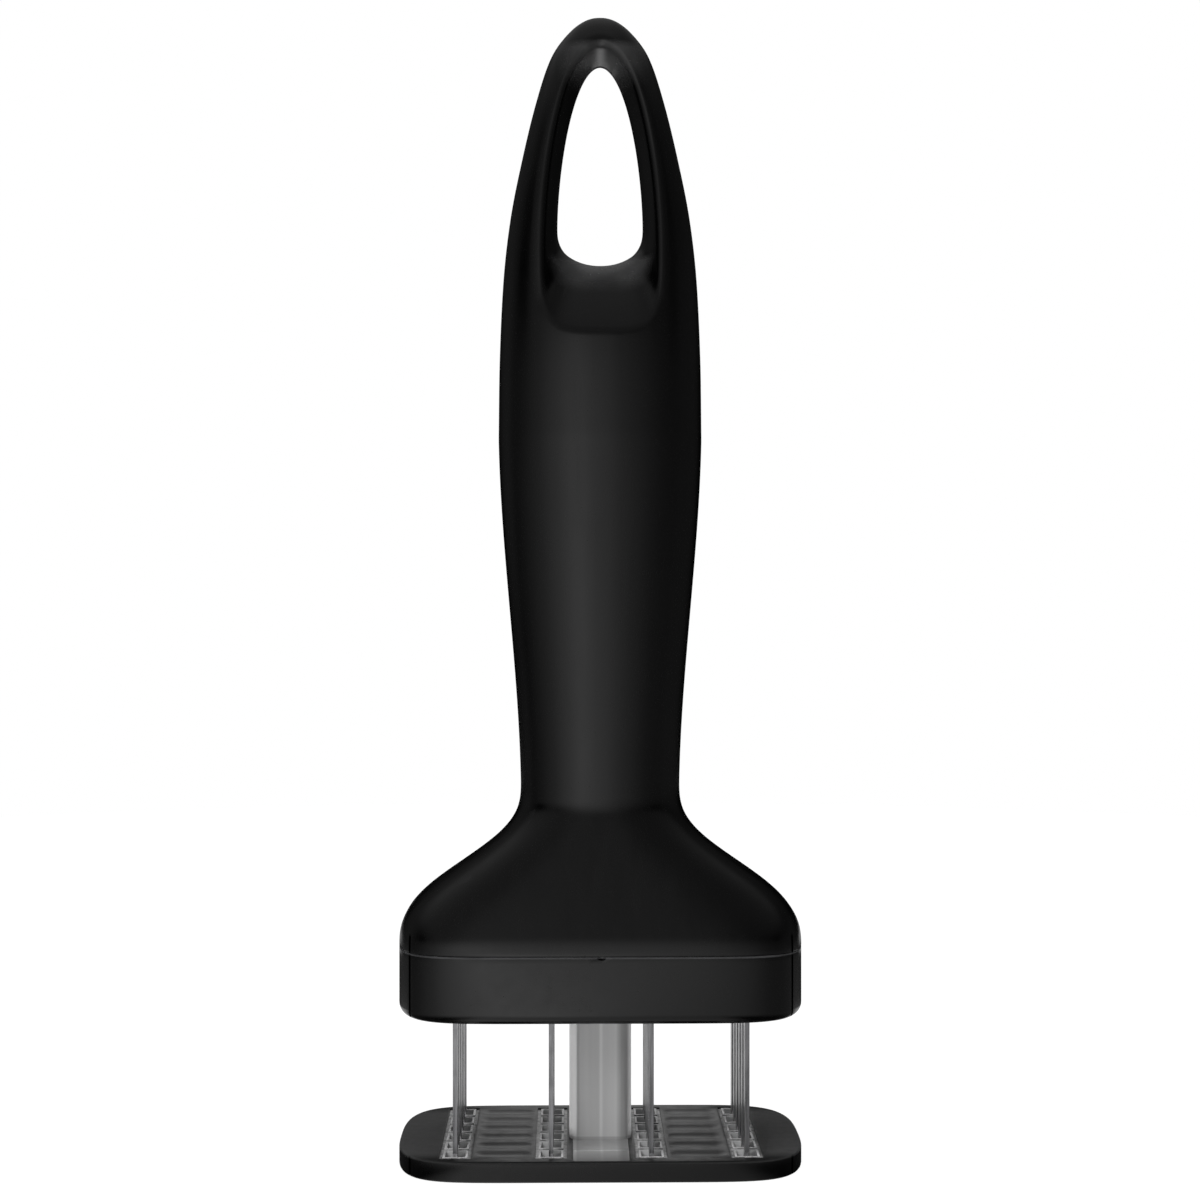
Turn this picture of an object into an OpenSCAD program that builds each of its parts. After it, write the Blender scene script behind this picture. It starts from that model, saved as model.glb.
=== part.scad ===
// Blade meat tenderizer: handle with a hanging loop, bladed head and a sprung foot plate.
// Millimetres, +Z up, origin under the middle of the foot plate, which stands on the floor.
// The rest position is the one with the foot plate pushed out over the blade tips.

/* [Overall] */
// Height from the floor to the top of the handle
overall_h = 197.8; // [185:0.1:215]
// Width of the head and of the foot plate
head_w = 69.2; // [68:0.1:76]
// Depth of the head and of the foot plate, front to back
head_d = 38; // [37:0.5:42]

/* [Handle] */
// Width of the grip at its widest place
grip_w = 35.3; // [34:0.1:38]
// Depth of the grip at its widest place
grip_d = 28; // [27:0.1:32]
// Height of the widest place above the neck
belly_h = 59.3; // [54:0.1:62]
// Width of the neck
neck_w = 27.6; // [26:0.1:30]
// Depth of the neck
neck_d = 24.4; // [24:0.1:26]
// Height of the flare between the head skirt and the neck
flare_h = 27.5; // [24:0.1:30]
// Wall of the handle halves
handle_wall = 2.4; // [1.8:0.1:3]
// Cross ribs in each handle half
rib_count = 3; // [2:1:4]
// Thickness of the ribs
rib_t = 1.6; // [1.2:0.1:2.4]

/* [Hanging loop] */
// Width of the hole at its waist
loop_w = 15.1; // [12:0.1:17]
// Height of the hole at its waist
loop_h = 35; // [30:0.1:38]
// Distance from the top of the handle down to the hole
loop_drop = 8.5; // [7.5:0.1:11]
// Height of the widest place of the hole above its lower end
loop_waist_h = 6.7; // [5:0.1:9]
// Width of the bevelled mouth of the hole on each face
mouth_w = 20.8; // [19.6:0.1:23]
// Rise of the mouth above the hole
mouth_rise = 2.4; // [1.5:0.1:3.5]
// Length of the thumb dish below the hole
dish_h = 12.7; // [8:0.1:16]
// Height of the widest place of the mouth above its lower end
mouth_waist_h = 13.9; // [12:0.1:18]
// Thickness of the web between the two thumb dishes
web_t = 4; // [3:0.1:6]

/* [Head skirt] */
// Height of the skirt
skirt_h = 11.4; // [10:0.1:14]
// Wall of the skirt
skirt_wall = 1.8; // [1.4:0.1:2]
// Floor of the skirt
skirt_floor = 2; // [1.8:0.1:3]
// Radius of the skirt's lower edge
skirt_edge_r = 1.8; // [1:0.1:2]

/* [Blades] */
// Columns of blades across the head
blade_columns = 4; // [4]
// Rows of blades from front to back
blade_rows = 6; // [6]
// Distance between the two middle columns, on either side of the post
middle_pitch = 16.8; // [16.6:0.1:17]
// Distance from a middle column to the column outside it
column_pitch = 16; // [15.8:0.1:16.2]
// Distance between rows
row_pitch = 5.5; // [5.3:0.1:5.6]
// Thickness of a blade
blade_t = 0.75; // [0.5:0.05:1]
// Width of a blade
blade_w = 3; // [2.4:0.1:3.2]
// Length of the slanted tip
blade_tip_h = 3; // [1.5:0.1:4]
// Height of the blade tips above the floor at rest
tip_guard = 1; // [0.4:0.1:2]
// Width of the head that a blade hangs by
blade_head_w = 4; // [3.8:0.1:4.2]
// Height of that head
blade_head_h = 1; // [0.8:0.1:1.4]

/* [Blade carrier] */
// Height of the slotted block
carrier_h = 5.6; // [4.5:0.1:6]
// Half length of the slotted block
carrier_reach = 26.2; // [25.8:0.1:26.5]
// Thickness of the clamp plate
clamp_t = 1.8; // [1.2:0.1:2.2]

/* [Foot plate] */
// Thickness of the foot plate
foot_t = 3.5; // [3.2:0.1:5]
// Gap that is left between the foot plate and the head at the end of the travel
end_gap = 0.5; // [0.3:0.1:3]
// Width of a blade window
window_w = 3.4; // [3.2:0.1:3.6]
// Length of a blade window
window_l = 3.7; // [3.6:0.1:4]
// Width of the rim that stands round each window
window_rim = 0.4; // [0.3:0.1:0.5]
// Depth of the strip that the windows of one column lie in
strip_deep = 0.3; // [0.2:0.1:0.6]
// Border of that strip round the windows
strip_border = 1; // [0.8:0.1:1.1]
// Width of the grooves between the columns
groove_w = 3.4; // [2.4:0.1:3.8]
// Depth of the grooves, which have a round bottom
groove_deep = 0.3; // [0.2:0.1:0.5]
// Clear land between a groove and the strips beside it
groove_land = 0.5; // [0.3:0.1:1]

/* [Plunger] */
// Width of the square post
post_w = 10.7; // [10:0.1:10.7]
// Depth of the square post, front to back
post_d = 10; // [9.4:0.1:10.6]
// Radius of the corners of the post
post_r = 2; // [1:0.1:3]
// Depth of the post's seat in the foot plate
post_seat = 0.6; // [0.5:0.1:0.8]
// Width of the base bar that runs front to back through the seat
bar_w = 9.4; // [8.8:0.1:9.8]
// Distance of the bar's ends from the edges of the foot plate
bar_inset = 0.8; // [0.6:0.1:1.5]
// Distance of the bar's cross lines from the middle of the post
bar_line_y = 11.7; // [9:0.1:14]
// Width of the cross lines
bar_line_w = 0.8; // [0.5:0.1:1.2]
// Travel of the foot plate
travel = 22; // [21.8:0.1:24]
// Thickness of the bulkhead that the post slides through
bulkhead_t = 3.2; // [2.4:0.1:4]
// Height of the bulkhead's top above the joint between skirt and handle
bulkhead_rise = 11.3; // [10:0.1:12]
// Diameter of the stop washer
washer_d = 15; // [14:0.1:15.2]
// Thickness of the stop washer
washer_t = 1.2; // [0.8:0.1:2]

/* [Return spring] */
// Wire of the spring
spring_wire = 1.2; // [0.9:0.1:1.4]
// Outer diameter of the spring
spring_d = 13; // [12:0.1:14]
// Length of the spring at rest
spring_len = 55.8; // [50:0.1:60]
// Working turns of the spring
spring_turns = 12; // [8:1:14]

/* [Fasteners] */
// Shank of the post screws
post_screw_d = 4; // [3:0.1:4]
// Head of the post screws
post_screw_head_d = 7.4; // [6:0.1:7.6]
// Shank length of the post screws
post_screw_len = 12; // [8:0.5:16]
// Shank of the skirt screws
skirt_screw_d = 3; // [2.5:0.1:3]
// Head of the skirt screws
skirt_screw_head_d = 5.4; // [5:0.1:5.6]
// Length of the skirt screws
skirt_screw_len = 14; // [12:0.5:16]
// Shank of the carrier screws
carrier_screw_d = 2.5; // [2:0.1:2.5]
// Head of the carrier screws
carrier_screw_head_d = 4.6; // [4:0.1:4.8]
// Length of the carrier screws
carrier_screw_len = 6; // [5:0.5:6.5]

/* [Hidden] */
$fn = 48;
over = 1;
slide_gap = 0.3;
seat_gap = 0.05;
slot_gap = 0.1;
guide_wall = 1.9;
tip_flat = 0.6;

// The section's corners: a superellipse, soft on the grip and square on the head
grip_px = 2.5;
grip_py = 2.5;
head_px = 8;
head_py = 3;
front_steps = 12;
end_steps = 6;

// Widths and depths of the handle's tip as shares of the grip, over the height above the belly
tip_w_shares = [
    [0, 1], [0.19, 0.989], [0.38, 0.951], [0.522, 0.883], [0.664, 0.766],
    [0.807, 0.619], [0.902, 0.484], [0.961, 0.309], [1, 0]
];
tip_d_shares = [
    [0, 1], [0.19, 0.96], [0.38, 0.865], [0.522, 0.775], [0.664, 0.68],
    [0.807, 0.575], [0.902, 0.465], [0.961, 0.305], [1, 0]
];

// Heights, from the floor up
foot_gap = travel + end_gap;
head_z = foot_t + foot_gap;
joint_z = head_z + skirt_h;
neck_z = joint_z + flare_h;
belly_z = neck_z + belly_h;
tip_h = overall_h - belly_z;
floor_z = head_z + skirt_floor;
carrier_z = floor_z + carrier_h;
clamp_z = carrier_z + clamp_t;
bulkhead_z = joint_z + bulkhead_rise;
washer_z = bulkhead_z + slide_gap;
spring_z = washer_z + washer_t;
spring_seat_z = spring_z + spring_len;
guide_top_z = spring_seat_z + handle_wall;
loop_top_z = overall_h - loop_drop;
loop_z = loop_top_z - loop_h;
loop_waist_z = loop_z + loop_waist_h;
mouth_top_z = loop_top_z + mouth_rise;
mouth_z = loop_z - dish_h;
mouth_waist_z = mouth_z + mouth_waist_h;
core_top_z = mouth_z - 2 * handle_wall;

// Plan sizes inside the head
inner_w = head_w - 2 * skirt_wall;
inner_d = head_d - 2 * skirt_wall;
lip_t = handle_wall / 2;
guide_r = washer_d / 2 + slide_gap;
guide_outer_r = guide_r + guide_wall + handle_wall / 6;

// Screw places
skirt_screw_x = (inner_w / 2 + carrier_reach) / 2;
skirt_screw_y = inner_d / 5;
boss_r = skirt_screw_d / 2 + 1.2 * skirt_screw_d / 3;
carrier_screw_x = (middle_pitch + column_pitch) / 2;
carrier_screw_y = 2 * row_pitch;

// Locating pins across the seam
pin_r = 1.3;
pin_reach = 3;
pin_boss_r = 2.7;
pin_z_shares = [0.3, 0.8];
arm_pin_x = (loop_w + grip_w) / 4;
arm_pin_z = (mouth_waist_z + mouth_z) / 2;

blade_xs = [
    for (c = [0 : blade_columns - 1])
        let (k = c - (blade_columns - 1) / 2)
        sign(k) * (middle_pitch + (2 * abs(k) - 1) * column_pitch) / 2
];
blade_ys = [for (r = [0 : blade_rows - 1]) (r - (blade_rows - 1) / 2) * row_pitch];

BLADES = [for (c = [1 : blade_columns]) for (r = [1 : blade_rows]) str("blade_c", c, "_r", r)];

// Curves

function mix(a, b, t) = a + (b - a) * t;
function clamp01(t) = min(1, max(0, t));
function smooth(t) = t * t * (3 - 2 * t);
function smoother(t) = t * t * t * (t * (6 * t - 15) + 10);

// Slope of a table at one of its stations
function slope(tab, i) =
    let (a = max(0, i - 1), b = min(len(tab) - 1, i + 1))
    (tab[b][1] - tab[a][1]) / (tab[b][0] - tab[a][0]);

// Smooth value of a table of [place, value] stations
function station(tab, u, i = 0) =
    i < len(tab) - 2 && u > tab[i + 1][0] ? station(tab, u, i + 1) :
    let (
        d = tab[i + 1][0] - tab[i][0],
        t = clamp01((u - tab[i][0]) / d)
    )
    mix(tab[i][1], tab[i + 1][1], smooth(t))
        + d * t * (1 - t) * (slope(tab, i) * (1 - t) - slope(tab, i + 1) * t);

// A tip narrows as a round dome does: the square of its width is the smooth value
function dome(tab, u) = sqrt(max(0, station([for (s = tab) [s[0], s[1] * s[1]]], u)));

// How far the flare has spread, from 0 at the neck to 1 at the joint
function flare_t(z) = clamp01((neck_z - z) / flare_h);
function spread_w(z) = smoother(pow(flare_t(z), 1.06));
// The front face is a straight ramp with a short bend at each end
ramp_start_share = 0.13;
ramp_end_share = 0.94;
ramp_bend_share = 0.05;
function bend(t) =
    t < -ramp_bend_share ? 0 :
    t > ramp_bend_share ? t :
    pow(t + ramp_bend_share, 2) / (4 * ramp_bend_share);
function spread_d(z) =
    let (t = flare_t(z))
    (bend(t - ramp_start_share) - bend(t - ramp_end_share)) / (ramp_end_share - ramp_start_share);

// How far the grip has swelled, from 0 at the neck to 1 at the belly
swell_ease = 0.3;
function swell(z) =
    let (t = clamp01((z - neck_z) / belly_h))
    mix(smooth(t), t, swell_ease);

function half_w(z) =
    z < neck_z ? mix(neck_w, head_w, spread_w(z)) / 2 :
    z < belly_z ? mix(neck_w, grip_w, swell(z)) / 2 :
    max(tip_flat, grip_w / 2 * dome(tip_w_shares, (z - belly_z) / tip_h));
function half_d(z) =
    z < neck_z ? mix(neck_d, head_d, spread_d(z)) / 2 :
    z < belly_z ? mix(neck_d, grip_d, swell(z)) / 2 :
    max(tip_flat, grip_d / 2 * dome(tip_d_shares, (z - belly_z) / tip_h));
function px(z) = mix(grip_px, head_px, spread_d(z));
function py(z) = mix(grip_py, head_py, spread_d(z));

// Sections

function side_at(a, b, p, q, x) = b * pow(max(0, 1 - pow(abs(x) / a, p)), 1 / q);
function end_at(a, b, p, q, y) = a * pow(max(0, 1 - pow(abs(y) / b, q)), 1 / p);

// Front half of a rounded section, from the seam at +x round the front to the seam at -x
function half_section(a, b, p, q) =
    let (
        xs = a * pow(0.5, 1 / p),
        ys = b * pow(0.5, 1 / q),
        end = [for (j = [0 : end_steps - 1]) ys * sin(90 * j / end_steps)]
    )
    concat(
        [for (y = end) [end_at(a, b, p, q, y), -y]],
        [
            for (k = [0 : front_steps])
                let (x = xs * cos(180 * k / front_steps))
                [x, -side_at(a, b, p, q, x)]
        ],
        [
            for (j = [0 : end_steps - 1])
                let (y = end[end_steps - 1 - j])
                [-end_at(a, b, p, q, y), -y]
        ]
    );

// The whole section of the head, used by the skirt, the carrier and the foot plate
function head_section(w, d) =
    let (front = half_section(w / 2, d / 2, head_px, head_py), n = len(front))
    concat(front, [for (i = [n - 2 : -1 : 1]) [front[i][0], -front[i][1]]]);

function lifted(section, z) = [for (p = section) [p[0], p[1], z]];

// Closed solid through rings of equal count, each clockwise as seen from above
module loft(rings) {
    n = len(rings[0]);
    m = len(rings);
    sides = [
        for (i = [0 : m - 2])
            for (j = [0 : n - 1])
                let (k = (j + 1) % n)
                for (f = [
                    [i * n + k, (i + 1) * n + k, (i + 1) * n + j],
                    [i * n + k, (i + 1) * n + j, i * n + j]
                ]) f
    ];
    bottom = [for (j = [n - 1 : -1 : 0]) j];
    top = [for (j = [0 : n - 1]) (m - 1) * n + j];
    polyhedron([for (r = rings) for (p = r) p], concat([bottom], sides, [top]));
}

// Ring heights of the handle: close together in the flare and round the tip
flare_rings = 16;
grip_rings = 9;
tip_rings = 20;
handle_zs = concat(
    [for (i = [0 : flare_rings - 1]) mix(joint_z, neck_z, i / flare_rings)],
    [for (i = [0 : grip_rings - 1]) mix(neck_z, belly_z, i / grip_rings)],
    [for (i = [0 : tip_rings]) mix(belly_z, overall_h, sin(90 * i / tip_rings))]
);

// Handle

// Outer form of the front half
module handle_form() {
    loft([for (z = handle_zs) lifted(half_section(half_w(z), half_d(z), px(z), py(z)), z)]);
}

// The room inside the handle wall, up to the thumb dishes
core_rings = 12;
module handle_core() {
    zs = [for (i = [0 : core_rings]) mix(joint_z, core_top_z, pow(i / core_rings, 1.7))];
    inset = handle_wall;
    loft(concat(
        [lifted(core_section(joint_z, inset), joint_z - over)],
        [for (z = zs) lifted(core_section(z, inset), z)]
    ));
}

function core_section(z, inset) =
    let (
        ring = half_section(half_w(z) - inset, half_d(z) - inset, px(z), py(z)),
        n = len(ring)
    )
    concat(
        [[ring[0][0], over]],
        [for (i = [0 : 2 : n - 1]) ring[i]],
        [[ring[n - 1][0], over]]
    );

// One mouth outline: an egg shape in x and z, square below, pointed above
function egg(v, m, n) = pow(max(0, 1 - pow(abs(v), m)), 1 / n);
function egg_point(phi, w, z, up, down, m_up, m_down, n_down) =
    let (v = sin(phi), side = abs(cos(phi)) < 1e-6 ? 0 : sign(cos(phi)))
    [
        side * w / 2 * (v > 0 ? egg(v, m_up, 2) : egg(v, m_down, n_down)),
        z + v * (v > 0 ? up : down)
    ];
function loop_point(phi) = egg_point(
    phi, loop_w, loop_waist_z, loop_top_z - loop_waist_z, loop_waist_h, 1.7, 2.55, 2
);
function mouth_point(phi) = egg_point(
    phi, mouth_w, mouth_waist_z, mouth_top_z - mouth_waist_z, mouth_waist_h, 1.9, 4, 4
);
function surface_y(p) = side_at(half_w(p[1]), half_d(p[1]), px(p[1]), py(p[1]), p[0]);

// The hole flares out to its mouth: rounded at the sides, dished for the thumb below
loop_steps = 40;
bevel_shares = [0, 0.16, 0.32, 0.48, 0.64, 0.8, 1];
side_bulge = 1.8;
dish_bulge = 1.6;
function bevel_point(phi, s) =
    let (
        low = smooth(clamp01((-sin(phi) - 0.2) / 0.7)),
        land = mix(0, web_t / grip_d, low),
        g = pow(clamp01((s - land) / (1 - land)), mix(side_bulge, dish_bulge, low)),
        p = mix(loop_point(phi), mouth_point(phi), g)
    )
    [p[0], surface_y(mouth_point(phi)) * s, p[1]];

module loop_cutter() {
    phis = [for (k = [0 : loop_steps - 1]) 360 * k / loop_steps];
    half = [for (s = bevel_shares) [for (phi = phis) bevel_point(phi, s)]];
    far = grip_d / 2 + over;
    outer = [for (phi = phis) let (p = mouth_point(phi)) [p[0], far, p[1]]];
    back = concat(half, [outer]);
    front = [for (i = [len(back) - 1 : -1 : 1]) [for (p = back[i]) [p[0], -p[1], p[2]]]];
    rings = concat(front, back);
    loft([for (r = rings) [for (p = r) p]]);
}

module bulkhead_slab() {
    translate([-head_w / 2, -head_d, bulkhead_z - bulkhead_t])
        cube([head_w, 2 * head_d, bulkhead_t]);
}

module cross_ribs() {
    for (i = [1 : rib_count])
        translate([-head_w / 2, -head_d, mix(bulkhead_z, guide_top_z, i / rib_count) - rib_t])
            cube([head_w, 2 * head_d, rib_t]);
    translate([-rib_t / 2, -head_d, bulkhead_z])
        cube([rib_t, head_d - guide_r, core_top_z - bulkhead_z + over]);
}

module skirt_screw_places() {
    for (x = [-skirt_screw_x, skirt_screw_x])
        translate([x, -skirt_screw_y, 0])
            children();
}

module pin_places() {
    for (s = pin_z_shares)
        translate([0, 0, mix(guide_top_z, core_top_z, s)])
            rotate([90, 0, 0])
                children();
}

module arm_pin_places() {
    for (x = [-arm_pin_x, arm_pin_x])
        translate([x, 0, arm_pin_z])
            rotate([90, 0, 0])
                children();
}

// Rounded square of the post, grown by a clearance
module post_plan(gap) {
    r = post_r + gap;
    w = post_w + 2 * gap;
    d = post_d + 2 * gap;
    for (x = [-1, 1])
        for (y = [-1, 1])
            translate([x * (w / 2 - r), y * (d / 2 - r)])
                circle(r);
    square([w - 2 * r, d], center = true);
    square([w, d - 2 * r], center = true);
}

// Lip under the handle's rim that centres the skirt and holds the clamp plate down
module rim_lip() {
    h = joint_z - clamp_z;
    w = inner_w - 2 * seat_gap;
    d = inner_d - 2 * seat_gap;
    translate([0, 0, clamp_z])
        linear_extrude(h + handle_wall / 2)
            difference() {
                polygon(half_section(w / 2, d / 2, head_px, head_py));
                polygon(half_section(w / 2 - lip_t, d / 2 - lip_t, head_px, head_py));
            }
}

module handle_shell() {
    difference() {
        union() {
            handle_form();
            rim_lip();
            skirt_screw_places()
                translate([0, 0, floor_z + seat_gap])
                    cylinder(h = joint_z + handle_wall - floor_z, r = boss_r);
        }
        difference() {
            handle_core();
            bulkhead_slab();
            cross_ribs();
            cylinder_from(bulkhead_z - bulkhead_t, guide_top_z, guide_outer_r);
            pin_places()
                cylinder(h = grip_d, r = pin_boss_r);
            skirt_screw_places()
                cylinder_from(floor_z, bulkhead_z, boss_r);
        }
        cylinder_from(bulkhead_z, spring_seat_z, guide_r);
        translate([0, 0, bulkhead_z - bulkhead_t - over])
            linear_extrude(bulkhead_t + 2 * over)
                post_plan(slide_gap);
        skirt_screw_places()
            cylinder_from(head_z, head_z + skirt_screw_len + over, skirt_screw_d / 2 + seat_gap);
        loop_cutter();
    }
}

module cylinder_from(z0, z1, r) {
    translate([0, 0, z0])
        cylinder(h = z1 - z0, r = r);
}

module handle_front_shell() {
    color("#161616")
        union() {
            handle_shell();
            pin_places()
                translate([0, 0, -pin_reach])
                    cylinder(h = pin_reach + over, r = pin_r);
            arm_pin_places()
                translate([0, 0, -pin_reach])
                    cylinder(h = pin_reach + over, r = pin_r);
        }
}

module handle_rear_shell() {
    color("#1a1a1a")
        difference() {
            mirror([0, 1, 0])
                handle_shell();
            pin_places()
                translate([0, 0, -pin_reach - slide_gap])
                    cylinder(h = pin_reach + 2 * slide_gap, r = pin_r + seat_gap);
            arm_pin_places()
                translate([0, 0, -pin_reach - slide_gap])
                    cylinder(h = pin_reach + 2 * slide_gap, r = pin_r + seat_gap);
        }
}

// Head

edge_steps = 4;
module skirt_form() {
    loft(concat(
        [
            for (i = [0 : edge_steps])
                let (a = 90 * i / edge_steps, inset = skirt_edge_r * (1 - sin(a)))
                lifted(
                    head_section(head_w - 2 * inset, head_d - 2 * inset),
                    head_z + skirt_edge_r * (1 - cos(a))
                )
        ],
        [lifted(head_section(head_w, head_d), joint_z)]
    ));
}

module blade_places() {
    for (x = blade_xs)
        for (y = blade_ys)
            translate([x, y, 0])
                children();
}

module both_halves() {
    children();
    mirror([0, 1, 0])
        children();
}

module head_skirt() {
    slot_w = blade_t + 2 * slide_gap;
    slot_l = blade_w + 2 * slot_gap;
    color("#1d1d1d")
        difference() {
            skirt_form();
            translate([0, 0, floor_z])
                linear_extrude(skirt_h)
                    polygon(head_section(inner_w, inner_d));
            blade_places()
                translate([-slot_w / 2, -slot_l / 2, head_z - over])
                    cube([slot_w, slot_l, skirt_floor + 2 * over]);
            translate([0, 0, head_z - over])
                linear_extrude(skirt_floor + 2 * over)
                    post_plan(slide_gap);
            both_halves()
                skirt_screw_places()
                    countersink(head_z, skirt_screw_head_d, skirt_screw_d);
        }
}

// Countersunk seat that opens downwards, with the clearance hole above it
module countersink(z, head, shank) {
    rise = (head - shank) / 2;
    translate([0, 0, z - over])
        cylinder(h = over + slide_gap, r = head / 2 + seat_gap);
    translate([0, 0, z + slide_gap])
        cylinder(h = rise, r1 = head / 2 + seat_gap, r2 = shank / 2 + seat_gap);
    cylinder_from(z, z + skirt_floor + foot_t, shank / 2 + seat_gap);
}

// Countersunk screw standing head down, its head just inside the surface at z
module flat_screw(z, head, shank, length) {
    rise = (head - shank) / 2;
    recess_w = shank / 5;
    difference() {
        union() {
            translate([0, 0, z + slide_gap])
                cylinder(h = rise, r1 = head / 2, r2 = shank / 2);
            cylinder_from(z + slide_gap, z + length, shank / 2);
        }
        cross_recess(z + slide_gap, head / 2, recess_w, rise / 2);
    }
}

module cross_recess(z, w, t, deep) {
    for (a = [0, 90])
        rotate([0, 0, a])
            translate([-w / 2, -t / 2, z - over])
                cube([w, t, deep + over]);
}

module blade_carrier() {
    slot_w = blade_t + 2 * slot_gap;
    slot_l = blade_w + 2 * slot_gap;
    seat_l = blade_head_w + 2 * slot_gap;
    color("#8c8f93")
        difference() {
            intersection() {
                translate([0, 0, floor_z])
                    linear_extrude(carrier_h)
                        polygon(head_section(inner_w - 2 * slide_gap, inner_d - 2 * slide_gap));
                translate([-carrier_reach, -head_d, floor_z - over])
                    cube([2 * carrier_reach, 2 * head_d, carrier_h + 2 * over]);
            }
            blade_places()
                translate([-slot_w / 2, -slot_l / 2, floor_z - over])
                    cube([slot_w, slot_l, carrier_h + 2 * over]);
            blade_places()
                translate([-slot_w / 2, -seat_l / 2, carrier_z - blade_head_h])
                    cube([slot_w, seat_l, blade_head_h + over]);
            translate([0, 0, floor_z - over])
                linear_extrude(carrier_h + 2 * over)
                    post_plan(slide_gap);
            carrier_screw_places()
                cylinder_from(
                    clamp_z - carrier_screw_len - slide_gap, carrier_z + over,
                    carrier_screw_d / 2 + seat_gap
                );
        }
}

module carrier_screw_places() {
    for (x = [-1.5, 1.5])
        for (y = [-1, 1])
            translate([x * carrier_screw_x / 1.5, y * carrier_screw_y, 0])
                children();
}

module clamp_plate() {
    color("#b4b7bb")
        difference() {
            intersection() {
                translate([0, 0, carrier_z])
                    linear_extrude(clamp_t)
                        polygon(head_section(inner_w - 2 * slide_gap, inner_d - 2 * slide_gap));
                translate([-carrier_reach, -head_d, carrier_z - over])
                    cube([2 * carrier_reach, 2 * head_d, clamp_t + 2 * over]);
            }
            translate([0, 0, carrier_z - over])
                linear_extrude(clamp_t + 2 * over)
                    post_plan(slide_gap);
            carrier_screw_places()
                mirror([0, 0, 1])
                    countersink(-clamp_z, carrier_screw_head_d, carrier_screw_d);
        }
}

module carrier_screws() {
    color("silver")
        carrier_screw_places()
            mirror([0, 0, 1])
                flat_screw(-clamp_z, carrier_screw_head_d, carrier_screw_d, carrier_screw_len);
}

module skirt_screws() {
    color("silver")
        both_halves()
            skirt_screw_places()
                flat_screw(head_z, skirt_screw_head_d, skirt_screw_d, skirt_screw_len);
}

// One blade: flat strip, hung by its wide head, ground to a slanted point
module blade(x, y) {
    half = blade_w / 2;
    head = blade_head_w / 2;
    color("#c9ccd0")
        translate([x - blade_t / 2, y, 0])
            rotate([90, 0, 90])
                linear_extrude(blade_t)
                    polygon([
                        [-half, tip_guard + blade_tip_h], [half, tip_guard],
                        [half, carrier_z - blade_head_h], [head, carrier_z - blade_head_h],
                        [head, carrier_z], [-head, carrier_z],
                        [-head, carrier_z - blade_head_h], [-half, carrier_z - blade_head_h]
                    ]);
}

// Foot and plunger

// Base bar of the post, let into the foot plate
module bar_plan(gap) {
    square([bar_w + 2 * gap, head_d - 2 * bar_inset + 2 * gap], center = true);
}

module foot_plate() {
    strip_w = window_w + 2 * strip_border;
    strip_l = (blade_rows - 1) * row_pitch + window_l + 2 * strip_border;
    rim_w = window_w + 2 * window_rim;
    rim_l = window_l + 2 * window_rim;
    groove_l = column_pitch - strip_w - 2 * groove_land;
    groove_r = (pow(groove_w / 2, 2) + pow(groove_deep, 2)) / (2 * groove_deep);
    groove_xs = [
        for (c = [0 : blade_columns - 2])
            if (abs(c - (blade_columns - 2) / 2) > 0.1) (blade_xs[c] + blade_xs[c + 1]) / 2
    ];
    color("#202020")
        difference() {
            linear_extrude(foot_t)
                polygon(head_section(head_w, head_d));
            blade_places()
                translate([-window_w / 2, -window_l / 2, -over])
                    cube([window_w, window_l, foot_t + 2 * over]);
            difference() {
                for (x = blade_xs)
                    translate([x - strip_w / 2, -strip_l / 2, foot_t - strip_deep])
                        cube([strip_w, strip_l, strip_deep + over]);
                blade_places()
                    translate([-rim_w / 2, -rim_l / 2, 0])
                        cube([rim_w, rim_l, foot_t + 2 * over]);
            }
            for (x = groove_xs)
                for (y = blade_ys)
                    translate([x - groove_l / 2, y, foot_t - groove_deep + groove_r])
                        rotate([0, 90, 0])
                            cylinder(r = groove_r, h = groove_l, $fn = 4 * $fn);
            translate([0, 0, foot_t - post_seat])
                linear_extrude(post_seat + over) {
                    post_plan(seat_gap);
                    bar_plan(seat_gap);
                }
            countersink(0, post_screw_head_d, post_screw_d);
        }
}

module foot_screw() {
    color("silver")
        flat_screw(0, post_screw_head_d, post_screw_d, foot_t + post_screw_len);
}

module plunger_post() {
    pilot_r = post_screw_d / 2 + seat_gap;
    color([0.8, 0.8, 0.82, 0.6])
        difference() {
            translate([0, 0, foot_t - post_seat]) {
                linear_extrude(washer_z - foot_t + post_seat)
                    post_plan(0);
                linear_extrude(post_seat)
                    bar_plan(0);
            }
            for (y = [-bar_line_y, bar_line_y])
                translate([-bar_w / 2 - over, y - bar_line_w / 2, foot_t - post_seat / 2])
                    cube([bar_w + 2 * over, bar_line_w, post_seat]);
            cylinder_from(0, foot_t + post_screw_len + slide_gap, pilot_r);
            cylinder_from(washer_z - post_screw_len - slide_gap, washer_z + over, pilot_r);
        }
}

module stop_washer() {
    color("silver")
        difference() {
            cylinder_from(washer_z, spring_z, washer_d / 2);
            cylinder_from(washer_z - over, spring_z + over, post_screw_d / 2 + seat_gap);
        }
}

module stop_screw() {
    head_h = post_screw_d / 2;
    color("silver")
        difference() {
            union() {
                cylinder_from(washer_z - post_screw_len, spring_z + head_h / 2, post_screw_d / 2);
                cylinder_from(spring_z, spring_z + head_h, post_screw_head_d / 2);
            }
            translate([0, 0, 2 * (spring_z + head_h)])
                mirror([0, 0, 1])
                    cross_recess(spring_z + head_h, post_screw_head_d / 2, post_screw_d / 5, head_h / 2);
        }
}

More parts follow.
